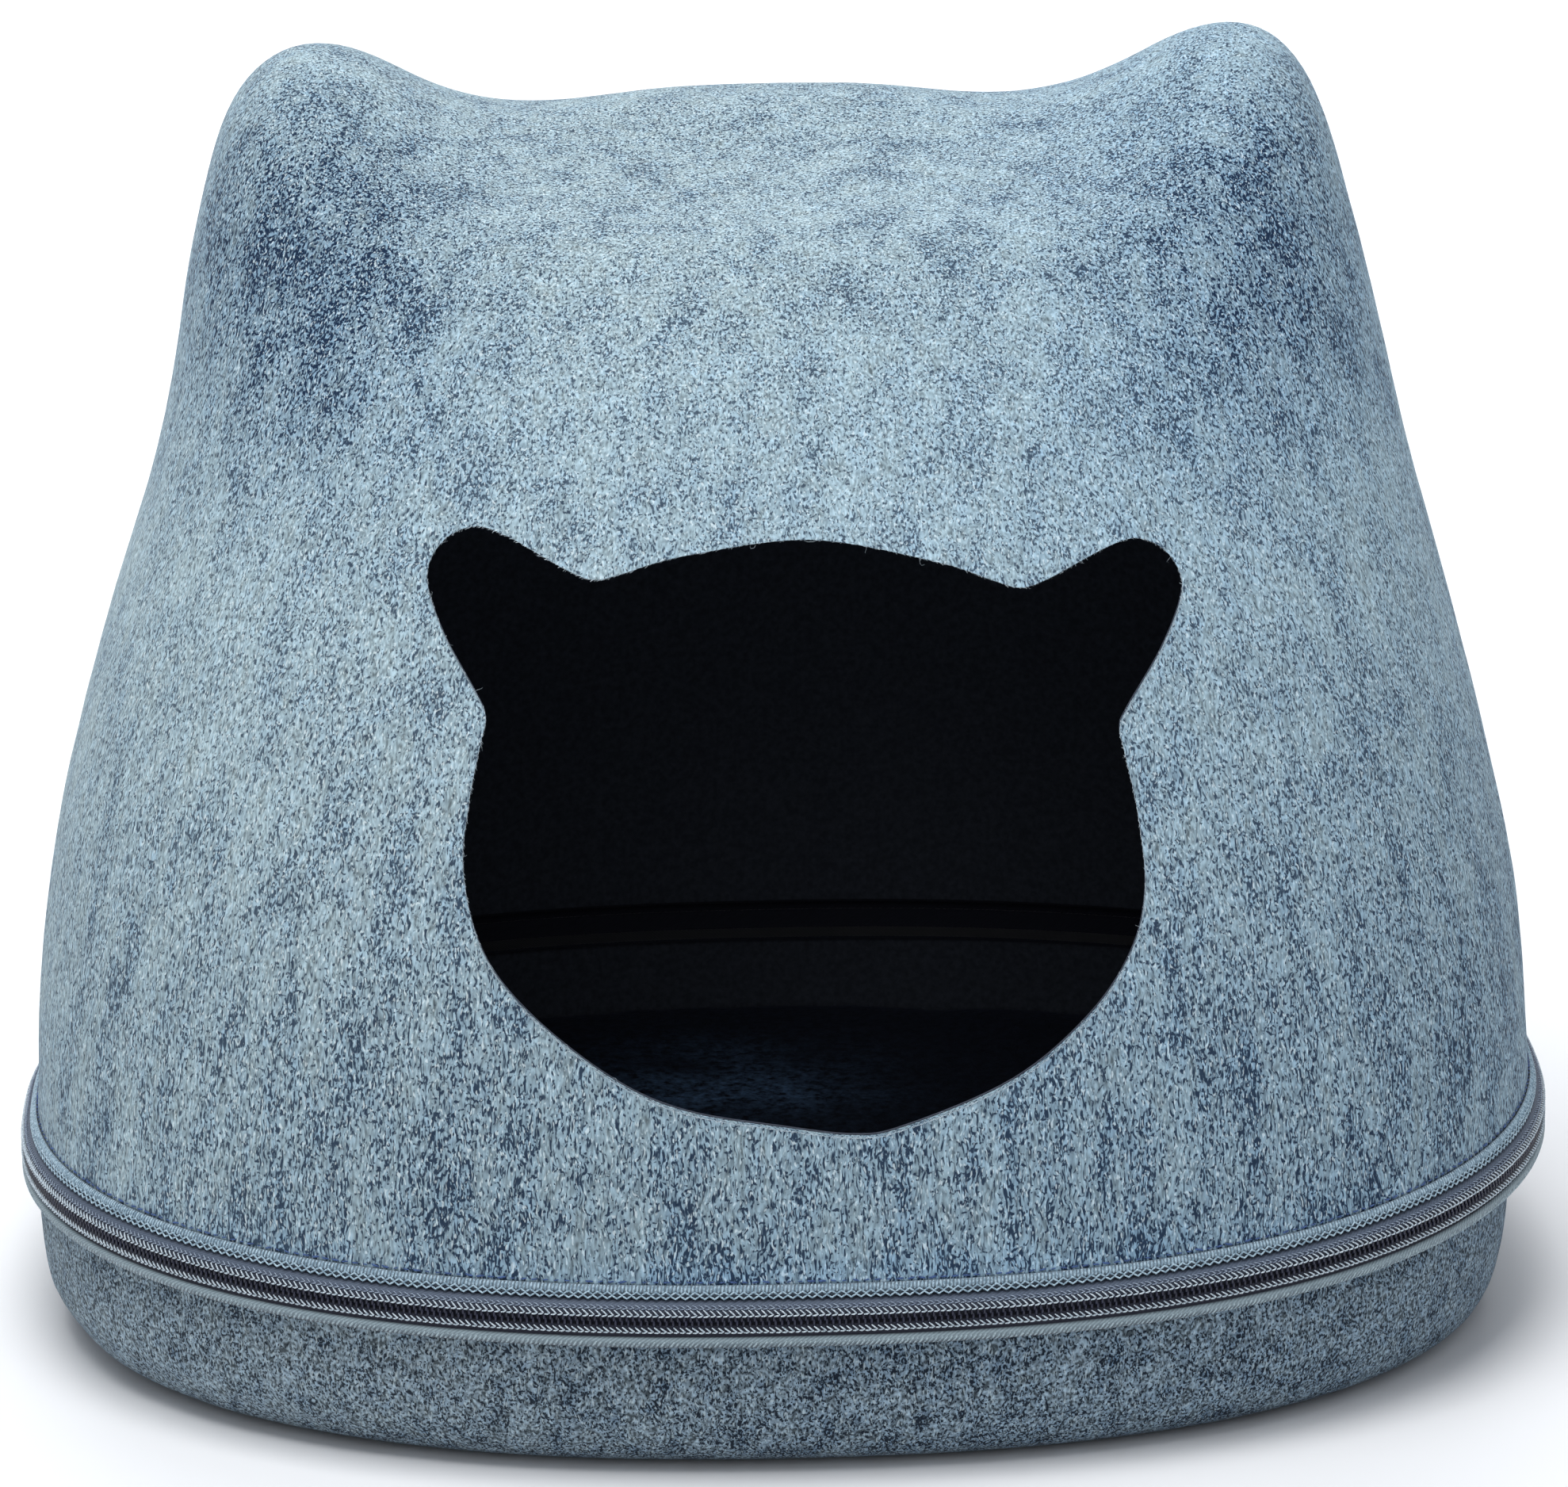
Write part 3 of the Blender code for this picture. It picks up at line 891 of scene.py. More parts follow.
@dataclass(frozen=True)
class SpunThread:
    """Spun polyester thread or yarn: matt, with a twist that breaks its light into fine strokes."""

    name: str
    pale: str
    dull: str
    deep: str = "161D2E"              # where the painted "shade" says that it lies in the dark
    twist_mm: float = 0.5

    def build(self) -> bpy.types.Material:
        """Makes the material.

        Returns:
            The material, which fills a piece's only slot.
        """
        material, tree, shader = fresh_material(self.name)
        place = add_node(tree, "ShaderNodeTexCoord").outputs["Object"]
        twist = add_node(tree, "ShaderNodeTexNoise", {
            "Vector": place, "Scale": 1.0 / (self.twist_mm * MM), "Detail": 1.0}).outputs[0]
        share = add_node(tree, "ShaderNodeMapRange", {
            "Value": twist, "From Min": 0.38, "From Max": 0.60}).outputs[0]
        shade = add_node(tree, "ShaderNodeAttribute", attribute_name="shade").outputs["Fac"]
        colour: Socket | tuple = linear(self.dull)
        for amount, layer in ((share, self.pale), (shade, self.deep)):
            colour = add_node(tree, "ShaderNodeMix", {0: amount, 6: colour, 7: linear(layer)},
                              data_type="RGBA").outputs[2]
        bump = add_node(tree, "ShaderNodeBump", {
            "Height": twist, "Strength": 0.4, "Distance": 0.1 * MM}).outputs[0]
        set_inputs(tree, shader, {
            "Base Color": colour, "Normal": bump, "Roughness": 0.75, "Sheen Weight": 0.1})
        return material


@dataclass(frozen=True)
class DrawnNylon:
    """Drawn nylon monofilament, dyed navy: smooth and satin, with small bright points."""

    name: str
    base: str
    painted_sheen: str = "232741"             # a lighter navy, mixed in patches by a noise as a painted sheen
    sheen_mm: float = 3.0

    def build(self) -> bpy.types.Material:
        """Makes the material.

        Returns:
            The material, which fills a piece's only slot.
        """
        material, tree, shader = fresh_material(self.name)
        place = add_node(tree, "ShaderNodeTexCoord").outputs["Object"]
        # painted sheen: a lighter navy mixed in by a noise
        sheen_patches = add_node(tree, "ShaderNodeTexNoise", {
            "Vector": place, "Scale": 1.0 / (self.sheen_mm * MM), "Detail": 1.0}).outputs[0]
        colour = add_node(tree, "ShaderNodeMix", {0: sheen_patches, 6: linear(self.base), 7: linear(self.painted_sheen)},
                          data_type="RGBA").outputs[2]
        set_inputs(tree, shader, {"Base Color": colour, "Roughness": 0.38, "IOR": 1.53})
        return material


HOOD_FELT = NeedleFelt("moulded_felt")
# a darker copy of the hood's felt for the tray: partly the tray's own heavier mottling, partly painted shade
MOTTLED_SHADED_TRAY_FELT = NeedleFelt(
    "tray_felt_mottled_and_shaded", pale="8C9DA8", mid="4A5A69", navy="111926", light="BCCCD4", stretch=0.85, streak=0.8,
    stroke_stretch=0.75, web_mm=1.0, cloud_mm=8.0, contrast=2.3, depth=0.80, level=1.30)
LINING = BrushedKnit("brushed_knit_lining", base="3E434D", fuzz="4D535F")
# the pad's painted light is a pale blue pool on its nap
PLUSH = BrushedKnit("plush_pile", base="22262F", fuzz="2E3543", painted_light_on_nap="7FA8D8", tuft_mm=3.0)
# a darker copy of the lower tape's weave: the upper tape's darker colour is painted shade from the braid
# above it
SHADED_UPPER_TAPE = WovenTape("upper_tape_weave_shaded", face="556377", groove="3D4A5C")
TAPE_LOWER = WovenTape("lower_tape_weave", face="93A5AD", groove="66777F")
BRAID = SpunThread("braid_yarn", pale="ABC3D1", dull="7790A1", twist_mm=0.9)
BRAID_BAND = SpunThread("braid_ground_weave", pale="8496A3", dull="64747F", twist_mm=1.4)
STITCH = SpunThread("pale_thread", pale="CDD9E1", dull="97A7B4")
# a darker copy of the pale thread for the row above the upper stitches: painted shade
SHADED_STITCH = SpunThread("shaded_thread", pale="9AA8B8", dull="66738A")
NAVY_STITCH = SpunThread("navy_thread", pale="3F5E92", dull="2A4270")
ROPE_YARN = SpunThread("tape_edge_yarn", pale="A3B5BD", dull="76868F", twist_mm=0.9)
FIBRE = SpunThread("loose_pale_fibre", pale="C9D6DE", dull="9FB0BC")
NYLON = DrawnNylon("coil_nylon", base="0E1120")


# ---------------------------------------------------------------- repeats along a path
@dataclass(frozen=True)
class Repeat:
    """How a small shape is repeated along a closed path, by Geometry Nodes.

    A shape's own x runs along the path, its z points out of the surface and its y is square to both.
    """

    pitch: float
    turn: tuple[float, float, float] = (0.0, 0.0, 0.0)   # random turn about each axis, in radians
    smallest: float = 1.0
    largest: float = 1.0
    seed: int = 1

    def tree(self) -> tuple[bpy.types.NodeTree, dict[str, str]]:
        """Builds the node tree.

        Returns:
            The tree, and the identifier of each of its inputs by name.
        """
        tree = bpy.data.node_groups.new("repeat_along_path", "GeometryNodeTree")
        face = tree.interface
        face.new_socket(name="Geometry", in_out="OUTPUT", socket_type="NodeSocketGeometry")
        names = {name: face.new_socket(name=name, in_out="INPUT", socket_type="NodeSocket" + kind).identifier
                 for name, kind in (("Geometry", "Geometry"), ("Shape", "Object"), ("Pitch", "Float"),
                                    ("Turn", "Vector"), ("Smallest", "Float"), ("Largest", "Float"),
                                    ("Seed", "Int"), ("Finish", "Material"))}
        given = add_node(tree, "NodeGroupInput").outputs
        curve = add_node(tree, "GeometryNodeMeshToCurve", {"Mesh": given["Geometry"]}).outputs[0]
        length = add_node(tree, "GeometryNodeCurveLength", {"Curve": curve}).outputs[0]
        times = add_node(tree, "ShaderNodeMath", {0: length, 1: given["Pitch"]},
                         operation="DIVIDE").outputs[0]
        whole = add_node(tree, "ShaderNodeMath", {0: times}, operation="ROUND").outputs[0]
        spaced = add_node(tree, "GeometryNodeResampleCurve", {"Curve": curve, "Count": whole}).outputs[0]
        out = add_node(tree, "GeometryNodeInputNamedAttribute", {"Name": "out"},
                       data_type="FLOAT_VECTOR").outputs[0]
        along = add_node(tree, "GeometryNodeInputTangent").outputs[0]
        facing = add_node(tree, "FunctionNodeAxesToRotation", {0: out, 1: along},
                          primary_axis="Z", secondary_axis="X").outputs[0]
        back = add_node(tree, "ShaderNodeVectorMath", {0: given["Turn"], "Scale": -1.0},
                        operation="SCALE").outputs[0]
        chance = add_node(tree, "FunctionNodeRandomValue", {
            "Min": back, "Max": given["Turn"], "Seed": given["Seed"]}, data_type="FLOAT_VECTOR").outputs[0]
        wobble = add_node(tree, "FunctionNodeEulerToRotation", {0: chance}).outputs[0]
        turned = add_node(tree, "FunctionNodeRotateRotation", {0: facing, 1: wobble},
                          rotation_space="LOCAL").outputs[0]
        size = add_node(tree, "FunctionNodeRandomValue", {
            2: given["Smallest"], 3: given["Largest"], "Seed": given["Seed"]}, data_type="FLOAT").outputs[1]
        shape = add_node(tree, "GeometryNodeObjectInfo", {"Object": given["Shape"]}).outputs["Geometry"]
        placed = add_node(tree, "GeometryNodeInstanceOnPoints", {
            "Points": spaced, "Instance": shape, "Rotation": turned, "Scale": size}).outputs[0]
        real = add_node(tree, "GeometryNodeRealizeInstances", {"Geometry": placed}).outputs[0]
        dressed = add_node(tree, "GeometryNodeSetMaterial", {
            "Geometry": real, "Material": given["Finish"]}).outputs[0]
        add_node(tree, "NodeGroupOutput", {"Geometry": dressed})
        return tree, names

    def along(self, name: str, places: Points, out: Points, threads: list,
              finish: bpy.types.Material) -> bpy.types.Object:
        """Repeats a shape of threads along a closed path.

        Args:
            name: the new piece's name.
            places: the path's points.
            out: the direction out of the surface at each point.
            threads: the shape's threads.
            finish: the new piece's material.

        Returns:
            The piece, as a plain mesh.
        """
        count = len(places)
        mesh = mesh_of(name + "_path", places, [], [(index, (index + 1) % count) for index in range(count)])
        layer = mesh.attributes.new("out", "FLOAT_VECTOR", "POINT")
        layer.data.foreach_set("vector", unit(out).astype(np.float32).ravel())
        path = bpy.data.objects.new(name + "_path", mesh)
        bpy.context.scene.collection.objects.link(path)
        shape = shape_object(name + "_shape", threads)
        tree, names = self.tree()
        modifier = path.modifiers.new("repeat", "NODES")
        modifier.node_group = tree
        for key, value in (("Shape", shape), ("Pitch", self.pitch), ("Turn", self.turn), ("Finish", finish),
                           ("Smallest", self.smallest), ("Largest", self.largest), ("Seed", self.seed)):
            modifier[names[key]] = value
        made = settled_mesh(path)
        bpy.data.objects.remove(path)
        bpy.data.objects.remove(shape)
        bpy.data.node_groups.remove(tree)
        return new_object(name, made, finish, sharp_degrees=75.0)


# ---------------------------------------------------------------- felt walls
@dataclass
class FeltHood:
    """The moulded hood and its lining."""

    around: int = 256                 # points in a ring
    felt: float = 3.0 * MM
    lining: float = 1.0 * MM
    lining_set: float = 3.8 * MM      # from the felt's outer face to the lining's
    lump: float = 0.45 * MM           # height of the felt's broad unevenness
    lump_width: float = 0.045
    ripple: float = 0.16 * MM         # height of its finer one
    ripple_width: float = 0.013
    still_rings: tuple = (1.0, 5.0)   # the unevenness sets in between these rings above the foot
    flat: tuple = (0.78, 0.74)        # the blank that is moulded into the hood
    felt_area: float = 0.42
    lining_area: float = 0.40

    def wall(self, name: str, set_in: float, thickness: float) -> bpy.types.Object:
        """Makes one closed wall with the entrance cut through it.

        Args:
            name: the piece's name.
            set_in: how far its outer face lies inside the felt's outer face.
            thickness: its thickness.

        Returns:
            The object, without a finish.
        """
        rings = FORM.hood_grid(self.around)
        normals = grid_normals(rings)
        outer = rings - normals * set_in
        if set_in == 0.0:
            lumps = self.lump * uneven(outer, self.lump_width, 3.1)
            lumps += self.ripple * uneven(outer, self.ripple_width, 7.7)
            fade = smooth_share(np.arange(len(outer)), *self.still_rings)[:, None]
            outer = outer + normals * (lumps * fade)[..., None]
        up = np.array([0.0, 0.0, 1.0])
        pole = FORM.hood_pole()
        whole = new_object(name + "_whole", shell_mesh(
            name, outer, rings - normals * (set_in + thickness),
            pole - up * set_in, pole - up * (set_in + thickness)))
        cut = ENTRANCE.cut(whole)
        bpy.data.objects.remove(whole)
        return new_object(name, cut)

    def fleck_shade_and_light(self, points: Points) -> Points:
        """Gives how thick the navy flecks lie, partly real mottling and partly painted light and shade:
        thick low down, at the lower right and in the hollows of the ears' fronts, which paints shade there,
        and thin on the left flank, which paints light there.

        Args:
            points: places on the felt, a row each.

        Returns:
            One value a place.
        """
        x, y, z = points.T
        low = 1.0 - smooth_share(z, 0.07, 0.30)
        crown = smooth_share(z, 0.31, 0.37)
        ear_front_flecks_and_shade = ((1.25 * hump(x, -0.150, 0.046) + 1.05 * hump(x, 0.150, 0.046)) * hump(z, 0.335, 0.050)
                      * (1.0 - smooth_share(y, -0.050, 0.015)))
        low_right_shade = smooth_share(x, 0.02, 0.20) * low
        left_flank_light = smooth_share(-x, 0.10, 0.20) * (1.0 - smooth_share(z, 0.24, 0.32))
        # thicker flecks low down, at the lower right and in the ears' fronts paint shade; thinner flecks on
        # the left flank paint light
        return 0.26 + 0.64 * low + 0.30 * crown + ear_front_flecks_and_shade + 0.10 * low_right_shade - 0.30 * left_flank_light

    def tint(self, points: Points) -> Points:
        """Gives how blue the felt is: greyer on the left flank, bluer at the ears and along the seam.

        Args:
            points: places on the felt, a row each.

        Returns:
            One value a place.
        """
        x, _, z = points.T
        rightward = smooth_share(x, -0.18, 0.10)
        crown = smooth_share(z, 0.30, 0.36)
        ears = (hump(x, -0.148, 0.060) + hump(x, 0.148, 0.060)) * hump(z, 0.340, 0.060)
        seam = hump(z, 0.064, 0.006) * (1.0 - np.abs(x) / 0.3)
        return np.clip(0.22 + 0.40 * rightward - 0.22 * crown + 0.60 * ears + 0.6 * seam, 0.0, 1.5)

    def build(self) -> bpy.types.Object:
        """Builds and dresses the hood and its lining.

        Returns:
            The felt, which the entrance's edge is dressed on.
        """
        felt = self.wall("hood_felt_shell", 0.0, self.felt)
        spots = mesh_points(felt.data)
        paint(felt.data, "fleck_shade_and_light", self.fleck_shade_and_light(spots))
        paint(felt.data, "tint", self.tint(spots))
        felt.data.materials.append(HOOD_FELT.build())
        finish_sheet(felt, ("hood_felt",))
        lining = self.wall("hood_lining_shell", self.lining_set, self.lining)
        lining.data.materials.append(LINING.build())
        finish_sheet(lining, ("hood_lining",))
        return felt


@dataclass
class FeltTray:
    """The shallow moulded tray and its lining."""

    around: int = 288                 # points in a ring
    floor_rings: int = 5
    felt: float = 3.0 * MM
    lining: float = 1.0 * MM
    lining_set: float = 3.8 * MM      # from the felt's outer face to the lining's
    lump: float = 0.35 * MM           # height of the felt's unevenness
    lump_width: float = 0.030
    still_foot: tuple = (1.0, 6.0)    # the unevenness sets in between these rings above the foot
    still_rim: tuple = (14.0, 19.0)   # and dies away between these
    foot_turn: float = 2.0            # how far the foot ring's normals are turned down
    flat: tuple = (0.56, 0.50)        # the blank that is moulded into the tray
    felt_area: float = 0.235
    lining_area: float = 0.225

    def with_floor(self, wall: Points, pole: Points) -> Points:
        """Puts the rings of a flat floor, from its pole outwards, before a wall's rings."""
        shares = (np.arange(self.floor_rings) + 1.0) / (self.floor_rings + 1.0)
        return np.concatenate([pole + (wall[0] - pole) * shares[:, None, None], wall])

    def wall(self, name: str, set_in: float, thickness: float) -> bpy.types.Object:
        """Makes one closed wall with its floor.

        Args:
            name: the piece's name.
            set_in: how far its outer face lies inside the felt's outer face.
            thickness: its thickness.

        Returns:
            The object, without a finish.
        """
        rings = FORM.tray_grid(self.around)
        normals = grid_normals(rings)
        down = np.array([0.0, 0.0, -1.0])
        normals[0] = unit(normals[0] + down * self.foot_turn)
        outer, inner = rings - normals * set_in, rings - normals * (set_in + thickness)
        if set_in == 0.0:
            row = np.arange(len(outer))
            fade = smooth_share(row, *self.still_foot) * (1.0 - smooth_share(row, *self.still_rim))
            lumps = self.lump * uneven(outer, self.lump_width, 11.3) * fade[:, None]
            outer = outer + normals * lumps[..., None]
            outer[..., 2] = np.maximum(outer[..., 2], 0.0)
        outer[0, :, 2], inner[0, :, 2] = set_in, set_in + thickness
        pole = np.array([FORM.tray_shift(0.0), 0.0, 0.0])
        outer_pole, inner_pole = pole - down * set_in, pole - down * (set_in + thickness)
        return new_object(name, shell_mesh(
            name, self.with_floor(outer, outer_pole), self.with_floor(inner, inner_pole),
            outer_pole, inner_pole, pole_below=True))

    def build(self) -> None:
        """Builds and dresses the tray, flecked thicker at its right and its foot, partly real mottling and
        partly painted shade, and its lining.
        """
        felt = self.wall("tray_felt_shell", 0.0, self.felt)
        x, _, z = mesh_points(felt.data).T
        # thicker flecks at the right and at the foot: partly real mottling, partly painted shade
        paint(felt.data, "fleck_shade_and_light", 0.62 + 0.22 * smooth_share(x, -0.16, 0.02)
              + 0.5 * (1.0 - smooth_share(z, 0.0, 0.012)))
        paint(felt.data, "tint", 0.25 + 0.35 * smooth_share(x, -0.15, 0.1))
        felt.data.materials.append(MOTTLED_SHADED_TRAY_FELT.build())
        finish_sheet(felt, ("tray_felt",))
        lining = self.wall("tray_lining_shell", self.lining_set, self.lining)
        lining.data.materials.append(LINING.build())
        finish_sheet(lining, ("tray_lining",))


@dataclass
class FloorPad:
    """The plush pad on the tray's floor: inflated as a cushion by the cloth simulation, with a low crown."""

    around: int = 144                 # points in a ring
    # height, and how far in from the tray's outer face
    side: tuple = (
        (0.0075, 0.0300), (0.0085, 0.0180), (0.0120, 0.0120), (0.0170, 0.0108), (0.0220, 0.0115),
        (0.0255, 0.0150), (0.0275, 0.0260), (0.0285, 0.0600),
    )
    top: float = 0.0290
    voxel: float = 6.0 * MM
    pressure: float = 4.0
    stiffness: float = 12.0
    frames: int = 16
    cap: float = 3.0 * MM             # no point moves further than this
    floor: float = 0.0056             # the pad's underside lies on the lining
    nap: float = 0.35 * MM            # height of the pile's unevenness
    nap_heights: tuple = (0.010, 0.024)   # it sets in up the pad's side
    # where the painted light falls on the nap: x and its reach, y and its reach
    lit_spot: tuple = (-0.018, 0.040, 0.078, 0.036)

    def slack_mesh(self) -> bpy.types.Mesh:
        """Makes the slack pad, a little smaller than its place.

        Returns:
            The closed mesh.
        """
        rings = []
        for height, inset in self.side:
            ring = FORM.outline(FORM.tray_rows[-2], self.around, FORM.tray_shift(height))
            moved = ring - level_normals(ring) * inset
            moved[:, 2] = height
            rings.append(moved)
        rows, around = len(rings), self.around
        centre = FORM.tray_shift(self.top)
        points = np.vstack([*rings, (centre, 0.0, self.side[0][0]), (centre, 0.0, self.top)])
        faces = ring_faces(rows, around) + fan_faces(0, around, rows * around, flip=True)
        return mesh_of("pad_slack", points, faces + fan_faces((rows - 1) * around, around, rows * around + 1))

    def inflate(self, slack: bpy.types.Object) -> None:
        """Blows the pad up with the cloth simulation and caps how far its points move.

        Args:
            slack: the slack pad, whose points are moved.
        """
        before = mesh_points(slack.data)
        cloth = slack.modifiers.new("cloth", "CLOTH")
        for name, value in (("quality", 4), ("mass", 0.3), ("tension_stiffness", self.stiffness),
                            ("compression_stiffness", self.stiffness), ("use_pressure", True),
                            ("uniform_pressure_force", self.pressure)):
            setattr(cloth.settings, name, value)
        cloth.settings.effector_weights.gravity = 0.0
        scene = bpy.context.scene
        for step in range(1, self.frames + 1):
            scene.frame_set(step)
        blown = settled_mesh(slack)
        slack.modifiers.remove(cloth)
        scene.frame_set(1)
        moved = mesh_points(blown) - before
        length = np.linalg.norm(moved, axis=1, keepdims=True)
        capped = before + moved * np.minimum(1.0, self.cap / np.maximum(length, TINY))
        capped[:, 2] = np.maximum(capped[:, 2], self.floor)
        move_points(slack.data, capped)
        bpy.data.meshes.remove(blown)

    def build(self) -> None:
        """Builds and dresses the pad."""
        slack = new_object("pad_slack", self.slack_mesh())
        remesh = slack.modifiers.new("remesh", "REMESH")
        remesh.mode = "VOXEL"
        remesh.voxel_size = self.voxel
        even = new_object("pad_even", settled_mesh(slack))
        bpy.data.objects.remove(slack)
        self.inflate(even)
        finer = even.modifiers.new("finer", "SUBSURF")
        finer.levels = finer.render_levels = 1
        pad = new_object("plush_pad", settled_mesh(even), PLUSH.build())
        bpy.data.objects.remove(even)
        points = mesh_points(pad.data)
        lift = self.nap * uneven(points, 0.012, 21.0) + 0.5 * self.nap * uneven(points, 0.005, 5.0)
        lift *= smooth_share(points[:, 2], *self.nap_heights)
        points[:, 2] = np.maximum(points[:, 2] + lift, self.floor)
        move_points(pad.data, points)
        # paints a pool of light on the nap where light falls in through the entrance
        x, x_reach, y, y_reach = self.lit_spot
        lit = hump(points[:, 0], x, x_reach) * hump(points[:, 1], y, y_reach)
        paint(pad.data, "painted_light_on_nap", np.clip(lit * (1.0 + 1.6 * uneven(points, 0.030, 2.0)), 0.0, 1.0))
        finish_piece(pad, ("floor_pad",))


# ---------------------------------------------------------------- the zip and its trimmings
def section_ring(name: str, section: tuple, columns: int) -> bpy.types.Mesh:
    """Sweeps a closed section round the hood's lower outline, with a map of its run for the weave.

    Args:
        name: the mesh's name.
        section: (out, height, shade) points round the section; shade is 1 where it lies in the dark.
        columns: how many stations round the cave.

    Returns:
        The mesh.
    """
    rows = len(section)
    grid = np.array([FORM.ring(out, height, columns) for out, height, _ in section])
    mesh = mesh_of(name, grid.reshape(-1, 3), ring_faces(rows, columns, closed=True))
    paint(mesh, "shade", np.repeat([shade for _, _, shade in section], columns))
    places = np.array([*section, section[0]])[:, :2]
    girth = np.concatenate([[0.0], np.cumsum(np.linalg.norm(np.diff(places, axis=0), axis=1))])
    run = FORM.stations(64)[2] * np.arange(columns + 1) / columns
    uv = np.empty((rows, columns, 4, 2))
    uv[..., 0] = np.stack([run[:-1], run[1:], run[1:], run[:-1]], axis=-1)
    uv[..., 1] = np.stack([girth[:-1], girth[:-1], girth[1:], girth[1:]], axis=-1)[:, None]
    mesh.uv_layers.new(name="run").data.foreach_set("uv", uv.ravel())
    turn_outward(mesh)
    return mesh


@dataclass
class ZipRound:
    """The zip that runs all round, its two tapes, the ribbed braid over it and all their stitches."""

    columns: int = 740                # one column of tape to each turn of the coil
    path_points: int = 1480
    pitch: float = 1.9 * MM           # of the coil and its stitches
    rib_pitch: float = 1.1 * MM
    net_pitch: float = 2.9 * MM
    rope_pitch: float = 1.45 * MM
    seam_pitch: float = 3.3 * MM
    upper_flat: tuple = (0.012, 1.43)  # width of the tape and length of the seam
    lower_flat: tuple = (0.020, 1.43)
    braid_flat: tuple = (0.010, 1.43)
    braid_area: float = 0.0075        # the braid narrows where its ribs pull it in
    # (out, height, shade) round each section; the flanges behind the coil close the seam from inside
    upper_section: tuple = (
        (-0.0030, 0.0573, 1.0), (0.0010, 0.0573, 1.0), (0.0026, 0.0556, 1.0), (0.0027, 0.0527, 1.0),
        (0.0034, 0.0527, 1.0), (0.0035, 0.0540, 1.0), (0.0043, 0.0538, 1.0), (0.0046, 0.0545, 0.95),
        (0.0043, 0.0556, 0.85), (0.0037, 0.0565, 0.45), (0.0030, 0.0572, 0.15), (0.0017, 0.0583, 0.45),
        (-0.0030, 0.0583, 1.0))
    lower_section: tuple = (
        (-0.0090, 0.0458, 1.0), (0.0030, 0.0458, 1.0), (0.0033, 0.0446, 0.9), (0.0041, 0.0443, 0.8),
        (0.0048, 0.0449, 0.65), (0.0051, 0.0459, 0.25), (0.0050, 0.0469, 0.0), (0.0045, 0.0475, 0.15),
        (0.0038, 0.0477, 1.0), (0.0038, 0.0486, 1.0), (0.0043, 0.0490, 1.0), (0.0043, 0.0512, 1.0),
        (0.0026, 0.0514, 1.0), (0.0025, 0.0532, 1.0), (0.0019, 0.0532, 1.0), (0.0019, 0.0468, 1.0),
        (-0.0090, 0.0468, 1.0))
    braid_section: tuple = (
        (0.0003, 0.0588, 1.0), (0.0013, 0.0588, 1.0), (0.0016, 0.0592, 0.85), (0.0014, 0.0604, 0.7),
        (0.0012, 0.0610, 0.1), (0.0009, 0.0618, 0.1), (0.0005, 0.0626, 0.2), (0.0003, 0.0626, 0.2))

    def lay(self, name: str, repeat: Repeat, spot: tuple[float, float, float], threads: list,
            finish: bpy.types.Material, replaced: tuple[str, ...] = (),
            between: bool = False) -> None:
        """Repeats a shape of threads round the seam and finishes the piece.

        Args:
            name: the piece's name.
            repeat: how the shape is repeated.
            spot: how far outside the hood's lower outline it lies, its height in front, and how far
                it faces up, in radians.
            threads: the shape's threads.
            finish: its material.
            replaced: the CAD nodes that it replaces.
            between: whether it starts half a step further on.
        """
        out, height, tilt = spot
        places = FORM.ring(out, height, self.path_points)
        if between:
            places = (places + np.roll(places, -1, axis=0)) / 2.0
        normals = FORM.stations(self.path_points)[1]
        facing = normals * math.cos(tilt) + np.array([0.0, 0.0, math.sin(tilt)])
        finish_piece(repeat.along(name, places, facing, threads, finish), replaced)

    def tapes(self) -> None:
        """Builds the two tapes."""
        for name, section, finish, flat, node in (
                ("upper_tape", self.upper_section, SHADED_UPPER_TAPE, self.upper_flat, "zip_tape_upper"),
                ("lower_tape", self.lower_section, TAPE_LOWER, self.lower_flat, "zip_tape_lower")):
            piece = new_object(name, section_ring(name, section, self.columns), finish.build())
            finish_sheet(piece, (node,))

    def coils(self) -> None:
        """Builds the nylon coil's turns, which mesh along the middle."""
        for name, height, up, node in (("upper_coil_turns", 0.0534, 1.0, "zip_coil_upper"),
                                       ("lower_coil_turns", 0.0519, -1.0, "zip_coil_lower")):
            turn = thread([(0.0, up * 1.30, -0.35), (0.0, up * 0.7, 0.05), (0.0, 0.0, 0.15),
                           (0.0, -up * 0.65, 0.15), (0.0, -up * 0.95, -0.25)], 0.90, 6)
            self.lay(name, Repeat(self.pitch), (0.0042, height, 0.0), [turn], NYLON.build(),
                     (node,), between=up < 0.0)

    def chain_stitches(self) -> None:
        """Builds the rows of arrow-shaped chain stitches that hold the coil to its tapes."""
        repeat = Repeat(self.pitch, turn=(0.05, 0.05, 0.07), smallest=0.94, largest=1.06, seed=4)
        # name, place, half height of an arrow and thickness of its thread in millimetres, finish
        for name, spot, half, thick, finish in (
                ("upper_stitches", (0.0048, 0.0552, 0.25), 1.00, 0.50, STITCH),
                ("upper_stitches_above", (0.0037, 0.0568, 0.75), 0.70, 0.34, SHADED_STITCH),
                ("lower_stitches", (0.0050, 0.0500, 0.0), 0.84, 0.50, STITCH)):
            long_arm = thread([(-0.95, half, -0.2), (-0.25, 0.45 * half, 0.12), (0.45, -0.22 * half, 0.15),
                               (0.85, -0.5 * half, -0.05)], thick)
            short_arm = thread([(-0.80, -0.95 * half, -0.2), (0.0, -0.85 * half, 0.12),
                                (0.80, -0.5 * half, 0.0)], 1.15 * thick)
            self.lay(name, repeat, spot, [long_arm, short_arm], finish.build())

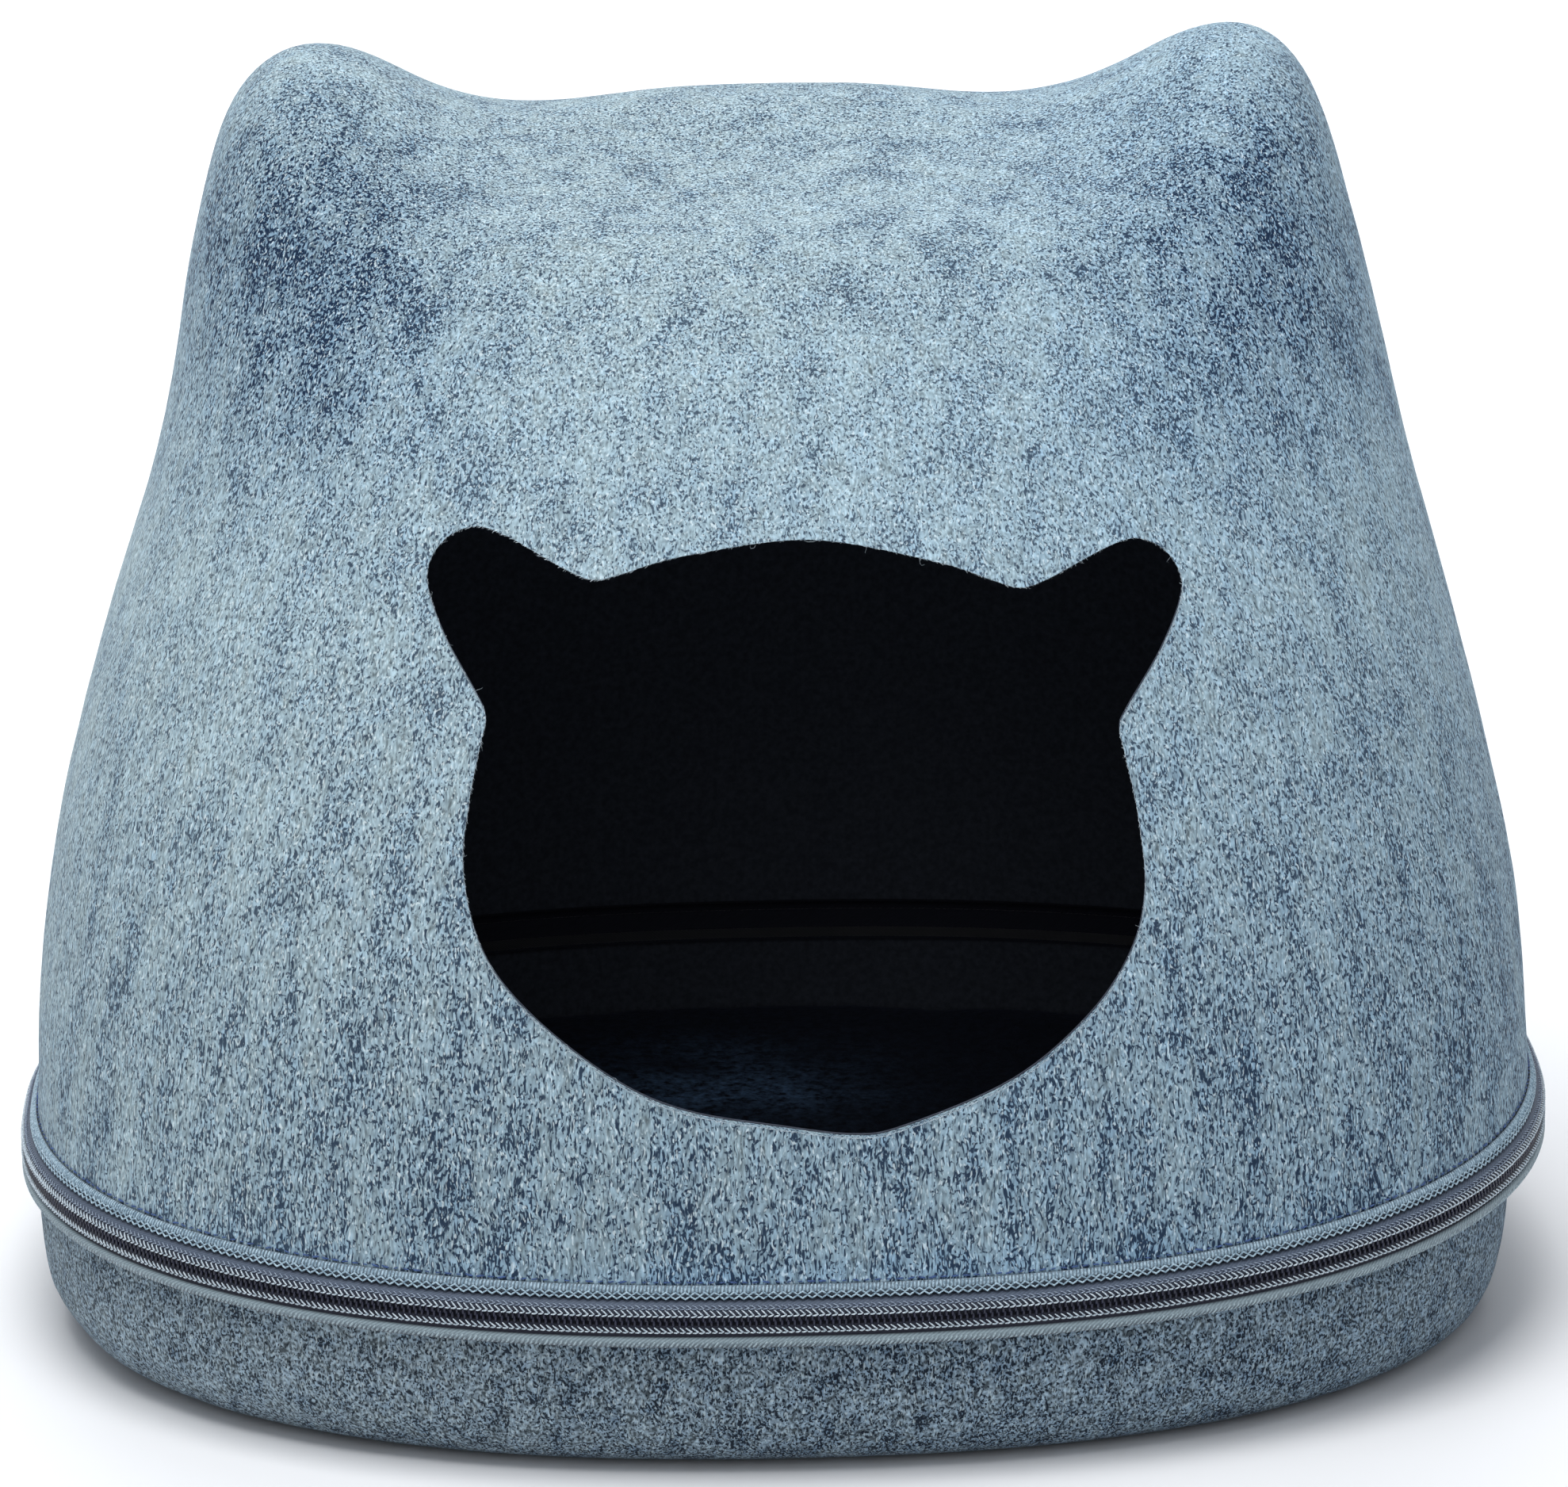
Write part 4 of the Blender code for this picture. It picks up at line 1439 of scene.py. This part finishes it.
    def braid(self) -> None:
        """Builds the ribbed braid: its band, its ribs and the net of its lower edge."""
        band = new_object("braid_band", section_ring("braid_band", self.braid_section, self.columns),
                          BRAID_BAND.build())
        finish_sheet(band, ("hood_braid",))
        yarn = BRAID.build()
        rib = thread([(0.12, 1.15, -0.30), (0.05, 0.5, 0.02), (-0.04, -0.4, 0.05),
                      (-0.12, -0.95, -0.15)], 0.78)
        ribs = Repeat(self.rib_pitch, turn=(0.0, 0.0, 0.06), smallest=0.95, largest=1.05, seed=8)
        self.lay("braid_ribs", ribs, (0.0011, 0.0615, 0.40), [rib], yarn)
        reach, half = self.net_pitch / MM / 2.0, 0.98
        strands = [thread([(-reach, side * 0.08, 0.0), (-0.5 * reach, side * 0.55 * half, 0.14),
                           (0.0, side * half, 0.05), (0.5 * reach, side * 0.55 * half, 0.14),
                           (reach, side * 0.08, 0.0)], 0.62) for side in (1.0, -1.0)]
        net = Repeat(self.net_pitch, turn=(0.0, 0.0, 0.03), smallest=0.98, largest=1.02, seed=9)
        self.lay("braid_net", net, (0.0018, 0.0598, 0.30), strands, yarn)

    def rope_edge(self) -> None:
        """Builds the slanting strands along the lower tape's rolled bottom edge."""
        strand = thread([(-0.95, -1.15, -0.75), (-0.55, -0.65, -0.15), (0.0, 0.0, 0.05), (0.45, 0.60, -0.05),
                         (0.70, 0.95, -0.35)], 0.70)
        repeat = Repeat(self.rope_pitch, turn=(0.0, 0.0, 0.05), smallest=0.95, largest=1.06, seed=12)
        self.lay("tape_rope_edge", repeat, (0.0049, 0.0456, -0.05), [strand], ROPE_YARN.build())

    def navy_seam(self) -> None:
        """Builds the uneven line of blue stitches in the felt just above the braid."""
        dash = thread([(-1.15, 0.05, -0.30), (-0.5, 0.0, 0.05), (0.4, 0.10, 0.06),
                       (1.10, -0.05, -0.30)], 0.60)
        repeat = Repeat(self.seam_pitch, turn=(0.10, 0.12, 0.30), smallest=0.55, largest=1.15, seed=17)
        self.lay("navy_seam_stitches", repeat, (0.0, 0.0633, 0.0), [dash], NAVY_STITCH.build())

    def build(self) -> None:
        """Builds the zip and its trimmings."""
        self.tapes()
        self.coils()
        self.chain_stitches()
        self.braid()
        self.rope_edge()
        self.navy_seam()


@dataclass
class EntranceEdge:
    """The cut edge of the entrance: a fuzz of pale fibres, and a few long strays."""

    fuzz_pitch: float = 0.38 * MM
    stray_pitch: float = 17.0 * MM
    set_back: float = 0.6 * MM        # from the edge to where the felt's face is looked for
    sunk: float = 0.15 * MM           # how deep the fuzz is rooted

    def rim(self, felt: bpy.types.Object) -> tuple[Points, Points, Points]:
        """Finds where the entrance's edge lies on the felt's outer face.

        Args:
            felt: the hood's felt.

        Returns:
            The edge's points, the directions into the opening, and the surface's normals.
        """
        edge = ENTRANCE.outline()
        middle = edge.mean(axis=0)
        tree = BVHTree.FromObject(felt, bpy.context.evaluated_depsgraph_get())
        places, inward, normals = [], [], []
        for (x, z), away in zip(edge, unit(edge - middle)):
            start = Vector((x + away[0] * self.set_back, -0.5, z + away[1] * self.set_back))
            spot, normal, _, _ = tree.ray_cast(start, Vector((0.0, 1.0, 0.0)))
            if spot is not None:
                places.append((x, spot.y, z))
                inward.append((-away[0], 0.0, -away[1]))
                normals.append(tuple(normal))
        return np.array(places), np.array(inward), np.array(normals)

    def build(self, felt: bpy.types.Object) -> None:
        """Builds the fuzz and the strays on the felt's cut edge.

        Args:
            felt: the hood's felt.
        """
        places, inward, normals = self.rim(felt)
        finish = FIBRE.build()
        out = unit(inward * 0.8 + normals * 0.6)
        tuft = thread([(-0.9, -0.3, -0.30), (-0.2, 0.05, 0.05), (0.7, 0.25, 0.12)], 0.16, 3)
        stray = thread([(-1.6, 0.0, -0.5), (-0.8, 0.3, 0.9), (0.6, 0.1, 1.6), (2.0, -0.4, 1.3),
                        (2.8, -0.3, 0.4)], 0.08, 3)
        fuzz = Repeat(self.fuzz_pitch, turn=(0.6, 0.35, 0.5), smallest=0.5, largest=1.3, seed=31)
        strays = Repeat(self.stray_pitch, turn=(0.9, 0.7, 1.4), smallest=0.3, largest=1.1, seed=37)
        for name, repeat, roots, shape in (("entrance_fuzz", fuzz, places - normals * self.sunk, tuft),
                                           ("entrance_strays", strays, places, stray)):
            finish_piece(repeat.along(name, roots, out, [shape], finish))


# ---------------------------------------------------------------- stage
@dataclass
class Studio:
    """The floor, the lights and the camera at the photograph's viewing angle."""

    distance: float = 3.0
    elevation: float = math.radians(16.0)
    azimuth: float = math.radians(-2.0)
    roll: float = math.radians(0.65)
    aim: tuple = (0.0, 0.0, 0.1708)
    pixel: float = 0.000249           # metres to a pixel at the aim
    frame_width: int = 1978           # pixels
    shift_pixels: float = 10.0
    sensor: float = 36.0              # millimetres
    floor_half: float = 6.0
    floor_height: float = -0.3 * MM   # just under the tray, so that the two don't flicker
    paper: str = "EDEEF0"
    sky: str = "F4F8FF"
    sky_strength: float = 0.42
    # name, place, size, watts and aim: a soft key above, a weak fill in front, and a wash on the floor behind
    lamps: tuple = (
        ("key", (-0.32, -0.60, 2.4), 1.5, 49.0, (0.0, 0.0, 0.15)),
        ("front_fill", (-0.3, -2.6, 1.5), 1.6, 7.0, (0.0, 0.0, 0.15)),
        ("floor_wash", (0.0, 2.6, 1.9), 2.4, 60.0, (0.0, 2.3, 0.0)),
    )

    def camera(self) -> None:
        """Places the camera."""
        level, rise = math.cos(self.elevation), math.sin(self.elevation)
        back = Vector((math.sin(self.azimuth) * level, -math.cos(self.azimuth) * level, rise))
        right = Vector((math.cos(self.azimuth), math.sin(self.azimuth), 0.0))
        up = back.cross(right)
        cosine, sine = math.cos(self.roll), math.sin(self.roll)
        data = bpy.data.cameras.new("camera")
        data.sensor_width = self.sensor
        data.lens = self.distance / self.pixel * self.sensor / self.frame_width
        data.shift_x = self.shift_pixels / self.frame_width
        data.clip_end = 50.0
        camera = bpy.data.objects.new("camera", data)
        axes = Matrix((right * cosine - up * sine, right * sine + up * cosine, back)).transposed().to_4x4()
        camera.matrix_world = Matrix.Translation(Vector(self.aim) + back * self.distance) @ axes
        bpy.context.scene.collection.objects.link(camera)
        bpy.context.scene.camera = camera

    def lights(self) -> None:
        """Hangs the soft square lamps and lights the sky."""
        for name, place, size, power, aim in self.lamps:
            data = bpy.data.lights.new(name, "AREA")
            data.shape = "SQUARE"
            data.size = size
            data.energy = power
            lamp = bpy.data.objects.new(name, data)
            lamp.location = place
            lamp.rotation_euler = (Vector(aim) - Vector(place)).to_track_quat("-Z", "Y").to_euler()
            bpy.context.scene.collection.objects.link(lamp)
        world = bpy.data.worlds.new("studio")
        world.use_nodes = True
        set_inputs(world.node_tree, world.node_tree.nodes["Background"], {
            "Color": linear(self.sky), "Strength": self.sky_strength})
        bpy.context.scene.world = world

    def floor(self) -> None:
        """Lays the plain pale floor."""
        corners = [(x * self.floor_half, y * self.floor_half, self.floor_height)
                   for x, y in ((-1, -1), (1, -1), (1, 1), (-1, 1))]
        material, tree, shader = fresh_material("studio_paper")
        set_inputs(tree, shader, {"Base Color": linear(self.paper), "Roughness": 0.9})
        floor = new_object("studio_floor", mesh_of("studio_floor", corners, [(0, 1, 2, 3)]), material)

    def build(self) -> None:
        """Builds lights, floor and camera."""
        bpy.context.scene.view_settings.view_transform = "Standard"
        self.lights()
        self.floor()
        self.camera()


def main() -> None:
    """Builds the cave's looks in order."""
    logging.basicConfig(level=logging.INFO, format="%(name)s %(message)s")
    log.info("frame has nodes %s", sorted(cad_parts))
    felt = FeltHood().build()
    FeltTray().build()
    FloorPad().build()
    ZipRound().build()
    EntranceEdge().build(felt)
    Studio().build()


if __name__ == "__main__":
    main()
